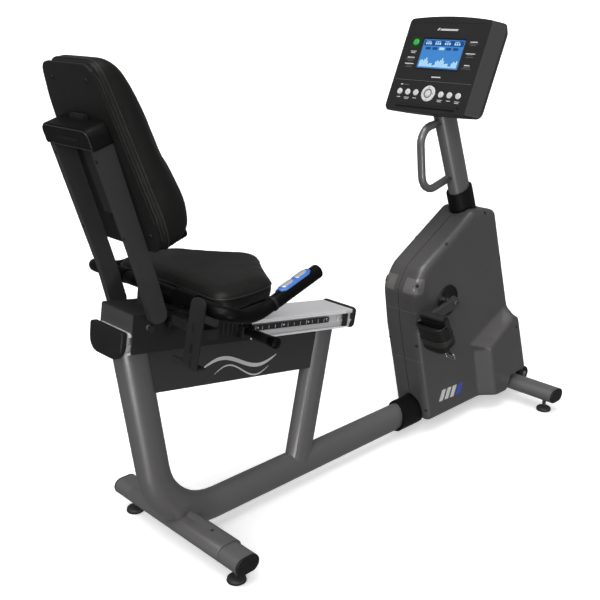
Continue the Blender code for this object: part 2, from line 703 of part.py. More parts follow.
def build_shrouds(bike, look):
    side_on = shroud_corners()
    quarter = 4
    collar = oval("collar_clear", mast_path(0.66, 0.90), MAST_DEEP + 0.018, MAST_WIDE + 0.018,
                  None, bike)
    spine = oval("sleeve_clear", [(0.80, 0.0, SPINE_Z), (1.03, 0.0, SPINE_Z)],
                 TUBE_DEEP + 0.018, TUBE_WIDE + 0.018, None, bike)
    spine_room = oval("spine_room", [(1.0, 0.0, SPINE_Z), (1.60, 0.0, SPINE_Z)],
                      TUBE_DEEP + 0.003, TUBE_WIDE + 0.003, None, bike)
    mast_room = oval("mast_room", mast_path(0.05, 0.30), MAST_DEEP, MAST_WIDE, None, bike,
                     grow=0.001)
    window = cylinder("crank_window", 0.050, 0.4, (CRANK_X, 0.0, CRANK_Z), None, bike, 'Y', 40)
    outer = [upright_ring(side_on, 0.0, -GAP / 2)]
    inner = [upright_ring(side_on, SHROUD_WALL, 0.002)]
    for step in range(quarter + 1):
        angle = math.pi / 2 * step / quarter
        pulled = SHROUD_EDGE * (1.0 - math.cos(angle))
        y = SHROUD_HALF - SHROUD_EDGE + SHROUD_EDGE * math.sin(angle)
        outer.append(upright_ring(side_on, pulled, -y))
        inner.append(upright_ring(side_on, pulled + SHROUD_WALL, SHROUD_WALL - y))
    shell = loft("shroud_right", outer, look["shroud"], bike)
    room = loft("shroud_room", inner, None, bike)
    root = bulge_corners(0.0)
    crest = bulge_corners(1.0)
    swell = loft("swell",
                 [upright_ring(root, 0.0, -0.055), upright_ring(root, 0.0, -SHROUD_HALF),
                  upright_ring(bulge_corners(0.85), 0.0, 0.006 - BULGE_HALF),
                  upright_ring(crest, 0.0015, -BULGE_HALF)], None, bike)
    swell_room = loft("swell_room",
                      [upright_ring(root, SHROUD_WALL, -0.040),
                       upright_ring(root, SHROUD_WALL, -SHROUD_HALF),
                       upright_ring(crest, SHROUD_WALL, SHROUD_WALL - BULGE_HALF)], None, bike)
    weld_on(shell, swell)
    carve(shell, room, swell_room, collar, spine, spine_room, mast_room, window)
    mirrored("shroud_left", shell)


# ---------------------------------------------------------------- crank and drive
def build_crank(bike, look):
    axis = empty("crank_axis", (CRANK_X, 0.0, CRANK_Z), parent=bike)
    shaft = ARM_INNER + ARM_THICK
    cylinder("crank_shaft", 0.010, 2 * shaft, (0.0, 0.0, 0.0), look["steel"], axis, 'Y', 24)

    housing = cylinder("bottom_bracket", 0.027, 0.083, (CRANK_X, -0.0135, CRANK_Z),
                       look["black"], bike, 'Y', 28)
    post = box("bracket_post", (0.050, 0.040, CRANK_Z - 0.140),
               (CRANK_X, -0.010, (CRANK_Z + 0.120) / 2), None, bike)
    foot = box("bracket_foot", (0.100, 0.050, 0.020), (CRANK_X, 0.0, 0.1355), None, bike)
    bore = cylinder("bracket_bore", 0.0103, 0.3, (CRANK_X, 0.0, CRANK_Z), None, bike, 'Y', 24)
    spine = oval("bracket_clear", [(0.90, 0.0, SPINE_Z), (1.35, 0.0, SPINE_Z)], TUBE_DEEP,
                 TUBE_WIDE, None, bike, grow=GAP)
    weld_on(housing, post, foot)
    carve(housing, bore, spine)

    web = 0.0025
    rim = 0.008
    turned("drive_pulley",
           [(PULLEY_RADIUS, rim), (PULLEY_RADIUS, -rim), (PULLEY_RADIUS - 0.008, -rim),
            (PULLEY_RADIUS - 0.010, -web), (0.022, -web), (0.020, -rim), (0.0103, -rim),
            (0.0103, rim), (0.020, rim), (0.022, web), (PULLEY_RADIUS - 0.010, web),
            (PULLEY_RADIUS - 0.008, rim)],
           (0.0, PULLEY_Y, 0.0), look["black"], axis, 'Y', 48)

    for side, sign, turn in (("left", 1.0, -CRANK_DROP), ("right", -1.0, math.pi - CRANK_DROP)):
        build_arm(side, sign, turn, axis, look)


def build_arm(side, sign, turn, axis, look):
    line = empty("crank_line_" + side, (0.0, 0.0, 0.0), (0.0, turn, 0.0), axis)
    y = sign * (ARM_INNER + ARM_THICK / 2)
    eye = [(0.019 * math.cos(a), 0.019 * math.sin(a)) for a in
           [math.radians(100 + 20 * i) for i in range(9)]]
    tip = [(CRANK_LENGTH + 0.015 * math.cos(a), 0.015 * math.sin(a)) for a in
           [math.radians(-80 + 20 * i) for i in range(9)]]
    arm = plate("crank_arm_" + side, [eye + tip, circle(0.0103, 24)], ARM_THICK, (0.0, y, 0.0),
                SIDE_ON, look["arm"], line, round_by=0.002)
    spindle = cylinder("spindle_" + side, 0.0065, 0.094,
                       (CRANK_LENGTH, sign * (ARM_INNER + ARM_THICK + 0.045), 0.0), None, line,
                       'Y', 20)
    weld_on(arm, spindle)

    # the pedal hangs level whatever the crank's angle, so it is turned back by the arm's
    pivot = empty("pedal_axis_" + side, (CRANK_LENGTH, sign * 0.1590, 0.0),
                  (0.0, PEDAL_TILT - turn, 0.0), line)
    body = outline([(0.058, -0.0105, 0.008), (0.058, 0.0145, 0.008), (0.038, 0.0125, 0.004),
                    (-0.040, 0.0125, 0.006), (-0.056, 0.0180, 0.006), (-0.056, -0.0080, 0.006),
                    (-0.034, -0.0145, 0.004), (0.038, -0.0145, 0.004)], 2)
    plate("pedal_" + side, [body, circle(0.0068, 20)], 0.098, (0.0, 0.0, 0.0), SIDE_ON,
          look["black"], pivot, round_by=0.002)
    half = 0.0495
    rise = 0.036
    outer = [(half + 0.0035, 0.0078)]
    inner = [(half + 0.0005, 0.0078)]
    for step in range(13):
        angle = math.pi * step / 12
        outer.append(((half + 0.0035) * math.cos(angle), 0.012 + (rise + 0.003) * math.sin(angle)))
        inner.append(((half + 0.0005) * math.cos(angle), 0.012 + rise * math.sin(angle)))
    outer.append((-half - 0.0035, 0.0078))
    inner.append((-half - 0.0005, 0.0078))
    plate("pedal_strap_" + side, [outer + inner[::-1]], 0.056, (0.008, 0.0, 0.0), END_ON,
          look["strap"], pivot)


def build_alternator(bike, look):
    x, z = ALTERNATOR
    stator = cylinder("alternator", 0.068, 0.076, (x, -0.014, z), look["steel"], bike, 'Y', 40)
    foot = box("alternator_foot", (0.110, 0.050, 0.040), (x, -0.014, 0.1505), None, bike)
    bore = cylinder("alternator_bore", 0.0063, 0.070, (x, 0.0, z), None, bike, 'Y', 20)
    spine = oval("alternator_clear", [(1.10, 0.0, SPINE_Z), (1.36, 0.0, SPINE_Z)], TUBE_DEEP,
                 TUBE_WIDE, None, bike, grow=GAP)
    weld_on(stator, foot)
    carve(stator, bore, spine)

    axis = empty("rotor_axis", (x, 0.0, z), parent=bike)
    top = PULLEY_Y + 0.008
    low = PULLEY_Y - 0.008
    turned("alternator_rotor",
           [(0.0, top), (ROTOR_RADIUS, top), (ROTOR_RADIUS, low), (0.006, low), (0.006, -0.030),
            (0.0, -0.030)],
           (0.0, 0.0, 0.0), look["steel"], axis, 'Y', 32)

    outer = belt_loop(PULLEY_RADIUS + 0.0035, ROTOR_RADIUS + 0.0035)
    inner = belt_loop(PULLEY_RADIUS + 0.0005, ROTOR_RADIUS + 0.0005)
    plate("drive_belt", [outer, inner], 0.013, (CRANK_X, PULLEY_Y, CRANK_Z), SIDE_ON,
          look["rubber"], bike)


def belt_loop(large, small):
    """The loop of a belt round the drive pulley and the alternator's, from the crank axis."""
    run = Vector((ALTERNATOR[0] - CRANK_X, ALTERNATOR[1] - CRANK_Z))
    heading = math.atan2(run.y, run.x)
    open_by = math.acos((large - small) / run.length)
    loop = []
    for step in range(29):
        angle = heading + open_by + (2 * math.pi - 2 * open_by) * step / 28
        loop.append((large * math.cos(angle), large * math.sin(angle)))
    for step in range(13):
        angle = heading - open_by + 2 * open_by * step / 12
        loop.append((run.x + small * math.cos(angle), run.y + small * math.sin(angle)))
    return loop


# ---------------------------------------------------------------- seat
def build_carriage(rail_line, look):
    """The folded carriage that runs on the rail; x along the rail, z off its top face."""
    sheet = 0.004
    long = CARRIAGE_END - CARRIAGE_START
    half = CARRIAGE_HALF
    section = [(half, CARRIAGE_LOW), (half, CARRIAGE_TOP - 0.005), (half - 0.005, CARRIAGE_TOP),
               (0.005 - half, CARRIAGE_TOP), (-half, CARRIAGE_TOP - 0.005), (-half, CARRIAGE_LOW),
               (sheet - half, CARRIAGE_LOW), (sheet - half, CARRIAGE_TOP - sheet),
               (half - sheet, CARRIAGE_TOP - sheet), (half - sheet, CARRIAGE_LOW)]
    body = plate("seat_carriage", [section], long, (CARRIAGE_START + long / 2, 0.0, 0.0), END_ON,
                 look["carriage"], rail_line)
    added = []
    for index, s in enumerate((CARRIAGE_START + 0.030, CARRIAGE_END - 0.030)):
        added.append(box("glide_%d" % index, (0.050, 0.130, CARRIAGE_TOP - 0.002),
                         (s, 0.0, (CARRIAGE_TOP - 0.002) / 2 + 0.0006), None, rail_line))
    # the saddle that carries the handlebar's cross tube
    added.append(box("bar_saddle", (0.034, 0.060, HANDLE_H - 0.0450),
                     (HANDLE_S, 0.0, (HANDLE_H + 0.0450) / 2), None, rail_line))
    for offset in (-0.0185, 0.0185):
        added.append(box("lever_ear", (0.005, 0.022, 0.030),
                         (LEVER_S + offset, -half - 0.0105, LEVER_H), None, rail_line))
    for side in (-1.0, 1.0):
        added.append(cylinder("carriage_bolt", 0.009, 0.006, (0.060, side * (half + 0.002), 0.008),
                              None, rail_line, 'Y', 20))
        spacer = POST_IN - GAP - half + 0.002
        added.append(box("post_spacer", (0.036, spacer, 0.014),
                         (0.079, side * (half - 0.002 + spacer / 2), 0.036), None, rail_line))
    weld_on(body, *added)
    bar = tube("handle_clear", [(HANDLE_X, -0.3, HANDLE_Z), (HANDLE_X, 0.3, HANDLE_Z)],
               HANDLE_RADIUS + 3 * GAP, None, rail_line.parent, 6)
    carve(body, bar)


HANDLE_X = -0.056
HANDLE_Z = 0.752
HANDLE_S = ((HANDLE_X - RAIL_REAR[0]) * math.cos(RAIL_FALL)
            - (HANDLE_Z - RAIL_REAR[2]) * math.sin(RAIL_FALL))
HANDLE_H = ((HANDLE_X - RAIL_REAR[0]) * math.sin(RAIL_FALL)
            + (HANDLE_Z - RAIL_REAR[2]) * math.cos(RAIL_FALL))
LEVER_S = 0.352
LEVER_H = -0.022


def build_back(bike, look):
    line = empty("back_line", BACK_FOOT, (0.0, -BACK_LEAN, 0.0), bike)
    cap_low = 0.0015
    cap_clear = box("cap_clear", (0.4, 0.4, 0.2), (0.0, 0.0, cap_low - GAP + 0.1), None, line)
    post = outline([(-0.2513, 1.1480, 0.0), (-0.1475, 0.808, 0.120), (-0.1210, 0.690, 0.018),
                    (-0.0740, 0.690, 0.018), (-0.0985, 0.790, 0.120), (-0.2026, 1.1480, 0.0)], 4)
    for side, sign in (("left", 1.0), ("right", -1.0)):
        carve(plate("back_post_" + side, [post], POST_THICK,
                    (0.0, sign * (POST_IN + POST_THICK / 2), 0.0), SIDE_ON, look["carriage"],
                    bike), cap_clear)
    box("back_cap", (0.052, 0.198, 0.048), (-0.0265, 0.0, 0.0255), look["black"], line,
        round_by=0.008)
    board = outline([(0.134, -0.266, 0.040), (0.147, -0.190, 0.060), (0.117, 0.090, 0.100),
                     (0.097, 0.170, 0.032), (-0.097, 0.170, 0.032), (-0.117, 0.090, 0.100),
                     (-0.147, -0.190, 0.060), (-0.134, -0.266, 0.040)], 4)
    plate("back_board", [board], 0.008, (0.0044, 0.0, 0.0), END_ON, look["vinyl"], line,
          round_by=0.002)
    heights = 9
    low = -0.262
    high = 0.166
    rings = []
    for index in range(heights):
        part = index / (heights - 1)
        t = low + (high - low) * part
        rings.append(pad_ring(t, part))
    loft("back_pad", rings, look["vinyl"], line)


def pad_ring(t, part):
    """One level section of the back pad: wide and deep at the lumbar, slim at the top."""
    swell = math.sin(math.pi * min(1.0, max(0.0, 0.12 + 0.80 * part))) ** 0.45
    half = (0.158 - 0.038 * part) * (0.82 + 0.18 * swell)
    deep = (0.100 - 0.032 * part) * (0.35 + 0.65 * swell)
    near = 0.0087
    corners = [(near, -half * 0.94, 0.006), (near + deep * 0.55, -half, 0.020),
               (near + deep, -half * 0.80, 0.030), (near + deep, half * 0.80, 0.030),
               (near + deep * 0.55, half, 0.020), (near, half * 0.94, 0.006)]
    corners = [(a, b, min(r, deep * 0.2)) for a, b, r in corners]
    return [(a, b, t) for a, b in outline(corners, 2)]


def seat_ring(plan, pulled, z):
    return [(a, b, z) for a, b in outline(inset_corners(plan, pulled), 4)]


def seat_corners():
    """Plan of the seat, narrower towards the rider's knees."""
    right = [(-0.024, -0.222, 0.045), (0.060, -0.227, 0.15), (0.156, -0.214, 0.060),
             (0.252, -0.062, 0.050), (0.282, -0.020, 0.020)]
    return right + [(a, -b, r) for a, b, r in reversed(right)]


def build_seat(bike, look):
    plan = seat_corners()
    rings = []
    for z, pulled in ((SEAT_BASE, 0.006), (SEAT_BASE + 0.004, 0.001), (SEAT_TOP - 0.018, 0.0),
                      (SEAT_TOP - 0.008, 0.004), (SEAT_TOP, 0.018), (SEAT_TOP + 0.004, 0.045)):
        rings.append(seat_ring(plan, pulled, z))
    loft("seat_pad", rings, look["vinyl"], bike)

    pan_top = SEAT_BASE - GAP
    pan_low = SEAT_BASE - 0.020
    pan = loft("seat_pan", [seat_ring(plan, 0.026, pan_low),
                            seat_ring(plan, 0.012, pan_low + 0.008),
                            seat_ring(plan, 0.010, pan_top)],
               look["black"], bike)
    rear = -0.010
    front = 0.190
    wedge = [(rear, carriage_top_at(rear)), (front, carriage_top_at(front)),
             (front, pan_low + 0.004), (rear, pan_low + 0.004)]
    block = plate("seat_block", [wedge], 0.110, (0.0, 0.0, 0.0), SIDE_ON, None, bike)
    weld_on(pan, block)


def carriage_top_at(x):
    return rail_top_at(x) + (CARRIAGE_TOP + GAP * 1.2) / math.cos(RAIL_FALL)


def build_handlebar(bike, look):
    half = [((HANDLE_X, -0.2840, 0.7480), 0.060), ((0.036, -0.2720, 0.7180), 0.110),
            ((0.240, -0.2700, 0.7840), 0.0)]
    right = [((x, y, z), r) for (x, y, z), r in half]
    left = [((x, -y, z), r) for (x, y, z), r in reversed(half)]
    corners = left + [((HANDLE_X, 0.08, HANDLE_Z), 0.0), ((HANDLE_X, -0.08, HANDLE_Z), 0.0)] + right
    tube("handlebar", fillet(corners, 6), HANDLE_RADIUS, look["black"], bike, 3)


def build_lever(rail_line, look):
    axis = empty("lever_axis", (LEVER_S, -CARRIAGE_HALF - 0.0170, LEVER_H), parent=rail_line)
    turned("release_lever",
           [(0.0, 0.1130), (0.010, 0.1120), (0.0135, 0.1060), (0.0135, 0.0300), (0.0105, 0.0240),
            (0.0095, -0.0090), (0.0, -0.0090)],
           (0.0, 0.0, 0.0), look["black"], axis, 'Y', 24).rotation_euler = (math.pi / 2, 0.0, 0.0)


def build_bracket(rail_line, look):
    """The side bracket that a bottle cage clips to: an upright L plate on an arm."""
    plate_s = 0.074
    leg = outline([(-0.236, -0.050, 0.003), (-0.249, 0.118, 0.016), (-0.199, 0.118, 0.016),
                   (-0.186, -0.034, 0.004), (-0.142, -0.036, 0.003), (-0.142, -0.050, 0.003)], 3)
    slot = outline([(-0.216, -0.014, 0.0035), (-0.219, 0.010, 0.0035),
                    (-0.211, 0.010, 0.0035), (-0.208, -0.014, 0.0035)], 3)
    bracket = plate("bottle_bracket", [leg, slot], 0.005, (plate_s, 0.0, 0.0), END_ON,
                    look["carriage"], rail_line)
    low = 0.020
    arm_start = -CARRIAGE_HALF - GAP
    arm_end = -0.230
    arm_s = plate_s + 0.045
    arm = box("bracket_arm", (0.026, arm_start - arm_end, 0.024),
              (arm_s, (arm_start + arm_end) / 2, low + 0.012), None, rail_line)
    reach = box("bracket_reach", (0.058, 0.030, 0.024),
                (plate_s + 0.029, arm_end + 0.015, low + 0.012), None, rail_line)
    lip = box("bracket_lip", (0.030, 0.090, 0.005), (plate_s + 0.014, -0.188, -0.0475), None,
              rail_line)
    weld_on(bracket, arm, reach, lip)


# ---------------------------------------------------------------- everything
def main():
    clear_scene()
    look = {
        "frame": material("frame_paint", (0.085, 0.082, 0.084), 0.38, 0.55),
        "panel": material("panel_paint", (0.045, 0.044, 0.045), 0.50, 0.20),
        "aluminium": material("rail_aluminium", (0.72, 0.72, 0.73), 0.28, 1.0),
        "black": material("black_plastic", (0.012, 0.012, 0.012), 0.40),
        "rubber": material("black_rubber", (0.020, 0.020, 0.020), 0.75),
        "strap": material("strap_rubber", (0.016, 0.016, 0.016), 0.60),
        "shroud": material("shroud_plastic", (0.064, 0.061, 0.063), 0.42, 0.10),
        "console": material("console_plastic", (0.035, 0.034, 0.034), 0.45),
        "screen": material("screen_glass", (0.05, 0.25, 0.62), 0.12),
        "key": material("key_plastic", (0.80, 0.80, 0.80), 0.35),
        "start": material("start_plastic", (0.05, 0.55, 0.08), 0.35),
        "steel": material("bare_steel", (0.45, 0.45, 0.46), 0.30, 1.0),
        "arm": material("crank_steel", (0.20, 0.20, 0.21), 0.35, 0.80),
        "carriage": material("carriage_paint", (0.024, 0.023, 0.023), 0.45, 0.20),
        "vinyl": material("black_vinyl", (0.014, 0.013, 0.012), 0.55),
    }
    bike = empty("bike", (REAR_BAR_X, 0.0, 0.0))
    rail_line = empty("rail_line", RAIL_REAR, (0.0, RAIL_FALL, 0.0), bike)
    build_frame(bike, rail_line, look)
    build_rail(rail_line, look)
    build_feet(bike, look)
    build_transport(bike, look)
    build_console(bike, look)
    build_shrouds(bike, look)
    build_crank(bike, look)
    build_alternator(bike, look)
    build_carriage(rail_line, look)
    build_back(bike, look)
    build_seat(bike, look)
    build_handlebar(bike, look)
    build_lever(rail_line, look)
    build_bracket(rail_line, look)
    smooth_round_pieces()


main()
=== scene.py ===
"""The looks of a recumbent exercise bike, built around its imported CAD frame.

The frame gives every structural piece. This script adds upholstery, grips, pedals, the console's
face, the seat rail's trim and the fasteners, and gives each surface its material.
Metres throughout; +X runs from the seat to the console, +Y is the rider's left, +Z is up.
"""
import json
import math

import bmesh
import bpy
from mathutils import Matrix, Vector
from mathutils.bvhtree import BVHTree

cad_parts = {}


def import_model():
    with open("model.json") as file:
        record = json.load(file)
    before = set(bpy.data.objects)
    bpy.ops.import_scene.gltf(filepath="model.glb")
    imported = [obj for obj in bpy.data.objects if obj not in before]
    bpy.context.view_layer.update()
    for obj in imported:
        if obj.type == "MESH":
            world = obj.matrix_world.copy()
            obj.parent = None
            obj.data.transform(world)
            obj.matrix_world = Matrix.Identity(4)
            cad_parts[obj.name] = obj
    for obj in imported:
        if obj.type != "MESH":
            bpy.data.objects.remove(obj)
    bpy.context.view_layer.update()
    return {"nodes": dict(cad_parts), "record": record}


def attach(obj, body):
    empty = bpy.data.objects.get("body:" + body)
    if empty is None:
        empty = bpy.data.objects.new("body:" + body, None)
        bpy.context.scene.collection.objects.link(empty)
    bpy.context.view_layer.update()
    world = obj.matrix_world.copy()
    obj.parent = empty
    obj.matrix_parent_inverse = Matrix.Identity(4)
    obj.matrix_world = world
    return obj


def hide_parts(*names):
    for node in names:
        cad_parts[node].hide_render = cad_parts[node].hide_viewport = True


# ---- places and sizes
REAR_BAR_X = -0.64375           # the rear foot bar, from which lengths along the bike are counted

RAIL_REAR = (-0.172, 0.0, 0.674)
RAIL_FALL = 9.3                 # degrees, towards the front
RAIL_HALF = 0.062
CARRIAGE_HALF = 0.070

BACK_FOOT = (-0.193, 0.0, 1.119)
BACK_LEAN = 17.4                # degrees, towards the rear

CONSOLE_FOOT = (0.959, 0.0, 1.083)
CONSOLE_TILT = math.radians(24.1)

CRANK = (1.046, 0.0, 0.471)
CRANK_DROP = math.radians(10.5)
CRANK_LENGTH = 0.170
PEDAL_Y = 0.159
PEDAL_TILT = -117               # degrees
ARCH_STEPS = 28                 # the foot straps' arch: its sections and how far it rises
ARCH_RISE = 0.0370

SHROUD_HALF = 0.070
PANEL_HALF = 0.0210

CAMERA_AT = (-1.2096, -1.7267, 1.4083)
CAMERA_TURN = math.radians(-43.7267)
CAMERA_RISE = math.radians(18.747)
LENS = 53.31

GRIP_STEPS = 26
SIDES = (("right", -1), ("left", 1))
CLOTH_FRAMES = 20
SEAT_SHRINK = 0.003             # room for the seat cushion to swell
FACES_SAME_WAY = 0.985          # the cosine above which a face looks along a direction


def place(x, y, z):
    """A point counted from the rear foot bar, in the frame's own coordinates."""
    return Vector((x + REAR_BAR_X, y, z))


def at(x, y, z):
    """A local frame at such a point."""
    return Matrix.Translation(place(x, y, z))


def shift(x, y, z):
    return Matrix.Translation((x, y, z))


def spin(degrees, axis):
    return Matrix.Rotation(math.radians(degrees), 4, axis)


def axes(x, y, z):
    """A turn whose local axes lie along three given ones."""
    return Matrix((x, y, z)).transposed().to_4x4()


RAIL = at(*RAIL_REAR) @ spin(RAIL_FALL, 'Y')
BACK = at(*BACK_FOOT) @ spin(-BACK_LEAN, 'Y')
CONSOLE = at(*CONSOLE_FOOT) @ axes((0, -1, 0),
                                   (math.sin(CONSOLE_TILT), 0, math.cos(CONSOLE_TILT)),
                                   (-math.cos(CONSOLE_TILT), 0, math.sin(CONSOLE_TILT)))


# ---- materials
def colour(red, green, blue):
    return (red, green, blue, 1.0)


def add_node(tree, kind, values, links):
    """A shader node whose sockets hold plain values or come from other sockets."""
    node = tree.nodes.new("ShaderNode" + kind)
    for socket, value in values.items():
        node.inputs[socket].default_value = value
    for socket, source in links.items():
        tree.links.new(source, node.inputs[socket])
    return node


def surface(name, base, rough, metal=0.0, scale=1.0, height=0.0, mottle=0.0, wear=0.0, coat=0.0,
            coat_rough=0.1, sheen=0.0, specular=0.5, cells=False, streak=(1.0, 1.0, 1.0)):
    """A procedural surface: its grain is noise or cells of a scale and height, mottle varies the
    roughness and colour, streak stretches both along an axis, and wear lightens sharp edges."""
    mat = bpy.data.materials.new(name)
    mat.use_nodes = True
    tree = mat.node_tree
    shader = tree.nodes["Principled BSDF"]
    for socket, value in {"Base Color": base, "Roughness": rough, "Metallic": metal,
                          "Coat Weight": coat, "Coat Roughness": coat_rough,
                          "Sheen Weight": sheen, "Specular IOR Level": specular}.items():
        shader.inputs[socket].default_value = value
    where = tree.nodes.new("ShaderNodeTexCoord").outputs["Object"]
    where = add_node(tree, "Mapping", {"Scale": streak}, {"Vector": where}).outputs["Vector"]
    if mottle:
        cloud = add_node(tree, "TexNoise", {"Scale": 9.0, "Detail": 6.0},
                         {"Vector": where}).outputs["Fac"]
        ramp = add_node(tree, "MapRange", {"From Min": 0.3, "From Max": 0.7,
                                           "To Min": max(0.02, rough - mottle),
                                           "To Max": min(1.0, rough + mottle)}, {"Value": cloud})
        tree.links.new(ramp.outputs["Result"], shader.inputs["Roughness"])
        last = add_node(tree, "MixRGB", {"Color1": base, "Color2": colour(0.86, 0.86, 0.87)},
                        {"Fac": cloud})
        last.blend_type = 'MULTIPLY'
        if wear:
            edge = tree.nodes.new("ShaderNodeNewGeometry").outputs["Pointiness"]
            sharp = add_node(tree, "MapRange", {"From Min": 0.53, "From Max": 0.62,
                                                "To Max": wear}, {"Value": edge})
            last = add_node(tree, "MixRGB", {"Color2": colour(0.30, 0.30, 0.31)},
                            {"Fac": sharp.outputs["Result"], "Color1": last.outputs["Color"]})
        tree.links.new(last.outputs["Color"], shader.inputs["Base Color"])
    if height:
        if cells:
            grain = add_node(tree, "TexVoronoi", {"Scale": scale}, {"Vector": where})
        else:
            grain = add_node(tree, "TexNoise", {"Detail": 4.0, "Scale": scale}, {"Vector": where})
        bump = add_node(tree, "Bump", {"Strength": 0.6, "Distance": height},
                        {"Height": grain.outputs["Distance" if cells else "Fac"]})
        tree.links.new(bump.outputs["Normal"], shader.inputs["Normal"])
    return mat


def two_tone(mat, toward, base):
    """Gives the faces that look one way their own colour."""
    tree = mat.node_tree
    shader = tree.nodes["Principled BSDF"]
    source = shader.inputs["Base Color"].links[0].from_socket
    here = tree.nodes.new("ShaderNodeNewGeometry").outputs["True Normal"]
    along = add_node(tree, "VectorMath", {1: toward}, {0: here})
    along.operation = 'DOT_PRODUCT'
    flat = add_node(tree, "Math", {1: FACES_SAME_WAY}, {0: along.outputs["Value"]})
    flat.operation = 'GREATER_THAN'
    mix = add_node(tree, "MixRGB", {"Color2": base},
                   {"Fac": flat.outputs["Value"], "Color1": source})
    tree.links.new(mix.outputs["Color"], shader.inputs["Base Color"])


def glowing(name, base, strength):
    """A surface that gives a little light of its own."""
    mat = surface(name, base, 0.25)
    shader = mat.node_tree.nodes["Principled BSDF"]
    shader.inputs["Emission Color"].default_value = base
    shader.inputs["Emission Strength"].default_value = strength
    return mat


# each look: its material's name, colour, roughness, metal, grain scale and height, mottle, and
# the rest of what surface() takes
SURFACES = {
    "frame": ("metallic_charcoal", (0.190, 0.184, 0.187), 0.34, 0.42, 900.0, 0.00010, 0.05,
        {"wear": 0.12, "coat": 0.40, "coat_rough": 0.22}),
    "panel": ("panel_charcoal", (0.046, 0.045, 0.045), 0.50, 0.1, 1200.0, 0.00008, 0.05, {}),
    "rail": ("anodised_rail", (0.80, 0.80, 0.81), 0.36, 0.15, 260.0, 0.00005, 0.06,
        {"streak": (0.04, 1.0, 1.0)}),
    # near-white strips on the rail's lips and lower edges, and a crescent: painted highlights
    "rail_painted_highlight": ("rail_lip_highlight", (0.97, 0.97, 0.97), 0.36, 0.0, 300.0, 0.00003, 0.05,
        {"streak": (0.04, 1.0, 1.0)}),
    "black": ("moulded_black", (0.008, 0.008, 0.008), 0.45, 0.0, 1500.0, 0.00010, 0.06,
        {"wear": 0.05, "specular": 0.35}),
    "rubber": ("black_rubber", (0.011, 0.011, 0.011), 0.62, 0.0, 1100.0, 0.00012, 0.06,
        {"specular": 0.3}),
    "foot": ("foot_rubber", (0.045, 0.044, 0.043), 0.45, 0.0, 1100.0, 0.00010, 0.06,
        {"specular": 0.4}),
    "grip": ("grip_rubber", (0.0025, 0.0025, 0.0025), 0.42, 0.0, 800.0, 0.00006, 0.05,
        {"specular": 0.14}),
    "strap": ("pedal_strap", (0.009, 0.009, 0.0085), 0.55, 0.0, 420.0, 0.00016, 0.05,
        {"cells": True, "specular": 0.35}),
    "shroud": ("shroud_charcoal", (0.090, 0.086, 0.087), 0.38, 0.12, 1300.0, 0.00012, 0.05,
        {"coat": 0.25, "coat_rough": 0.28}),
    "shroud_line": ("shroud_line", (0.16, 0.155, 0.155), 0.45, 0.1, 1300.0, 0.00003, 0.04, {}),
    # a lighter, glossier patch on the housing's upper rear corners: a painted reflection of light
    "boss_painted_reflection": ("boss_painted_reflection", (0.165, 0.16, 0.155), 0.30, 0.1, 1300.0, 0.00005, 0.05,
        {"coat": 0.3, "coat_rough": 0.2}),
    "console": ("console_black", (0.034, 0.033, 0.033), 0.42, 0.05, 1400.0, 0.00010, 0.05, {}),
    "key": ("white_key", (0.80, 0.80, 0.79), 0.35, 0.0, 900.0, 0.00003, 0.04, {}),
    "start": ("green_key", (0.05, 0.52, 0.09), 0.30, 0.0, 900.0, 0.00003, 0.04, {}),
    "start_pad": ("green_patch", (0.005, 0.045, 0.012), 0.35, 0.0, 900.0, 0.00002, 0.03, {}),
    "print": ("white_print", (0.72, 0.72, 0.72), 0.5, 0.0, 900.0, 0.00001, 0.03, {}),
    "grey_print": ("grey_print", (0.16, 0.15, 0.15), 0.5, 0.0, 900.0, 0.00001, 0.03, {}),
    "blue_print": ("blue_print", (0.05, 0.11, 0.50), 0.45, 0.0, 900.0, 0.00001, 0.03, {}),
    "steel": ("zinc_steel", (0.52, 0.52, 0.53), 0.32, 1.0, 500.0, 0.00005, 0.08, {}),
    "crank": ("crank_steel", (0.11, 0.11, 0.11), 0.40, 0.7, 500.0, 0.00006, 0.06, {"wear": 0.2}),
    "buckle": ("buckle_wire", (0.86, 0.86, 0.87), 0.22, 1.0, 500.0, 0.00003, 0.04, {}),
    "carriage": ("carriage_grey", (0.017, 0.0165, 0.016), 0.46, 0.1, 1000.0, 0.00012, 0.06,
        {"wear": 0.10, "specular": 0.4}),
    "vinyl": ("black_vinyl", (0.0075, 0.0068, 0.0062), 0.50, 0.0, 700.0, 0.00022, 0.05,
        {"cells": True, "sheen": 0.03, "specular": 0.28}),
    "piping": ("vinyl_piping", (0.025, 0.0235, 0.022), 0.38, 0.0, 700.0, 0.00010, 0.04,
        {"cells": True, "specular": 0.4}),
    "cap": ("cap_black", (0.0040, 0.0040, 0.0038), 0.50, 0.0, 1500.0, 0.00008, 0.06,
        {"specular": 0.22}),
    "sensor_blue": ("sensor_blue", (0.065, 0.20, 0.60), 0.42, 0.0, 900.0, 0.00004, 0.04, {}),
    "sensor_plate": ("sensor_plate", (0.85, 0.86, 0.88), 0.25, 0.6, 500.0, 0.00003, 0.05, {}),
    "strap_band": ("strap_band", (0.026, 0.026, 0.024), 0.5, 0.0, 420.0, 0.00010, 0.05,
        {"cells": True}),
    "sheet": ("carriage_sheet", (0.085, 0.083, 0.082), 0.42, 0.3, 900.0, 0.00006, 0.05, {}),
    "carriage_light": ("carriage_mid_grey", (0.062, 0.060, 0.059), 0.45, 0.25, 900.0, 0.00006,
                       0.06, {}),
    "cap_edge": ("cap_edge", (0.030, 0.029, 0.028), 0.40, 0.0, 1200.0, 0.00005, 0.05, {}),
    "hole": ("dark_hole", (0.003, 0.003, 0.003), 0.7, 0.0, 900.0, 0.00001, 0.03, {}),
}
# each look that glows: its material's name, colour and strength
LIT_SURFACES = {
    "screen": ("screen_blue", (0.050, 0.22, 0.56), 0.16),
    "screen_light": ("screen_light", (0.42, 0.68, 0.90), 0.15),
    "screen_dark": ("screen_dark", (0.010, 0.07, 0.26), 0.10),
}
LOOK = {}                       # every material on the bike, by its short name


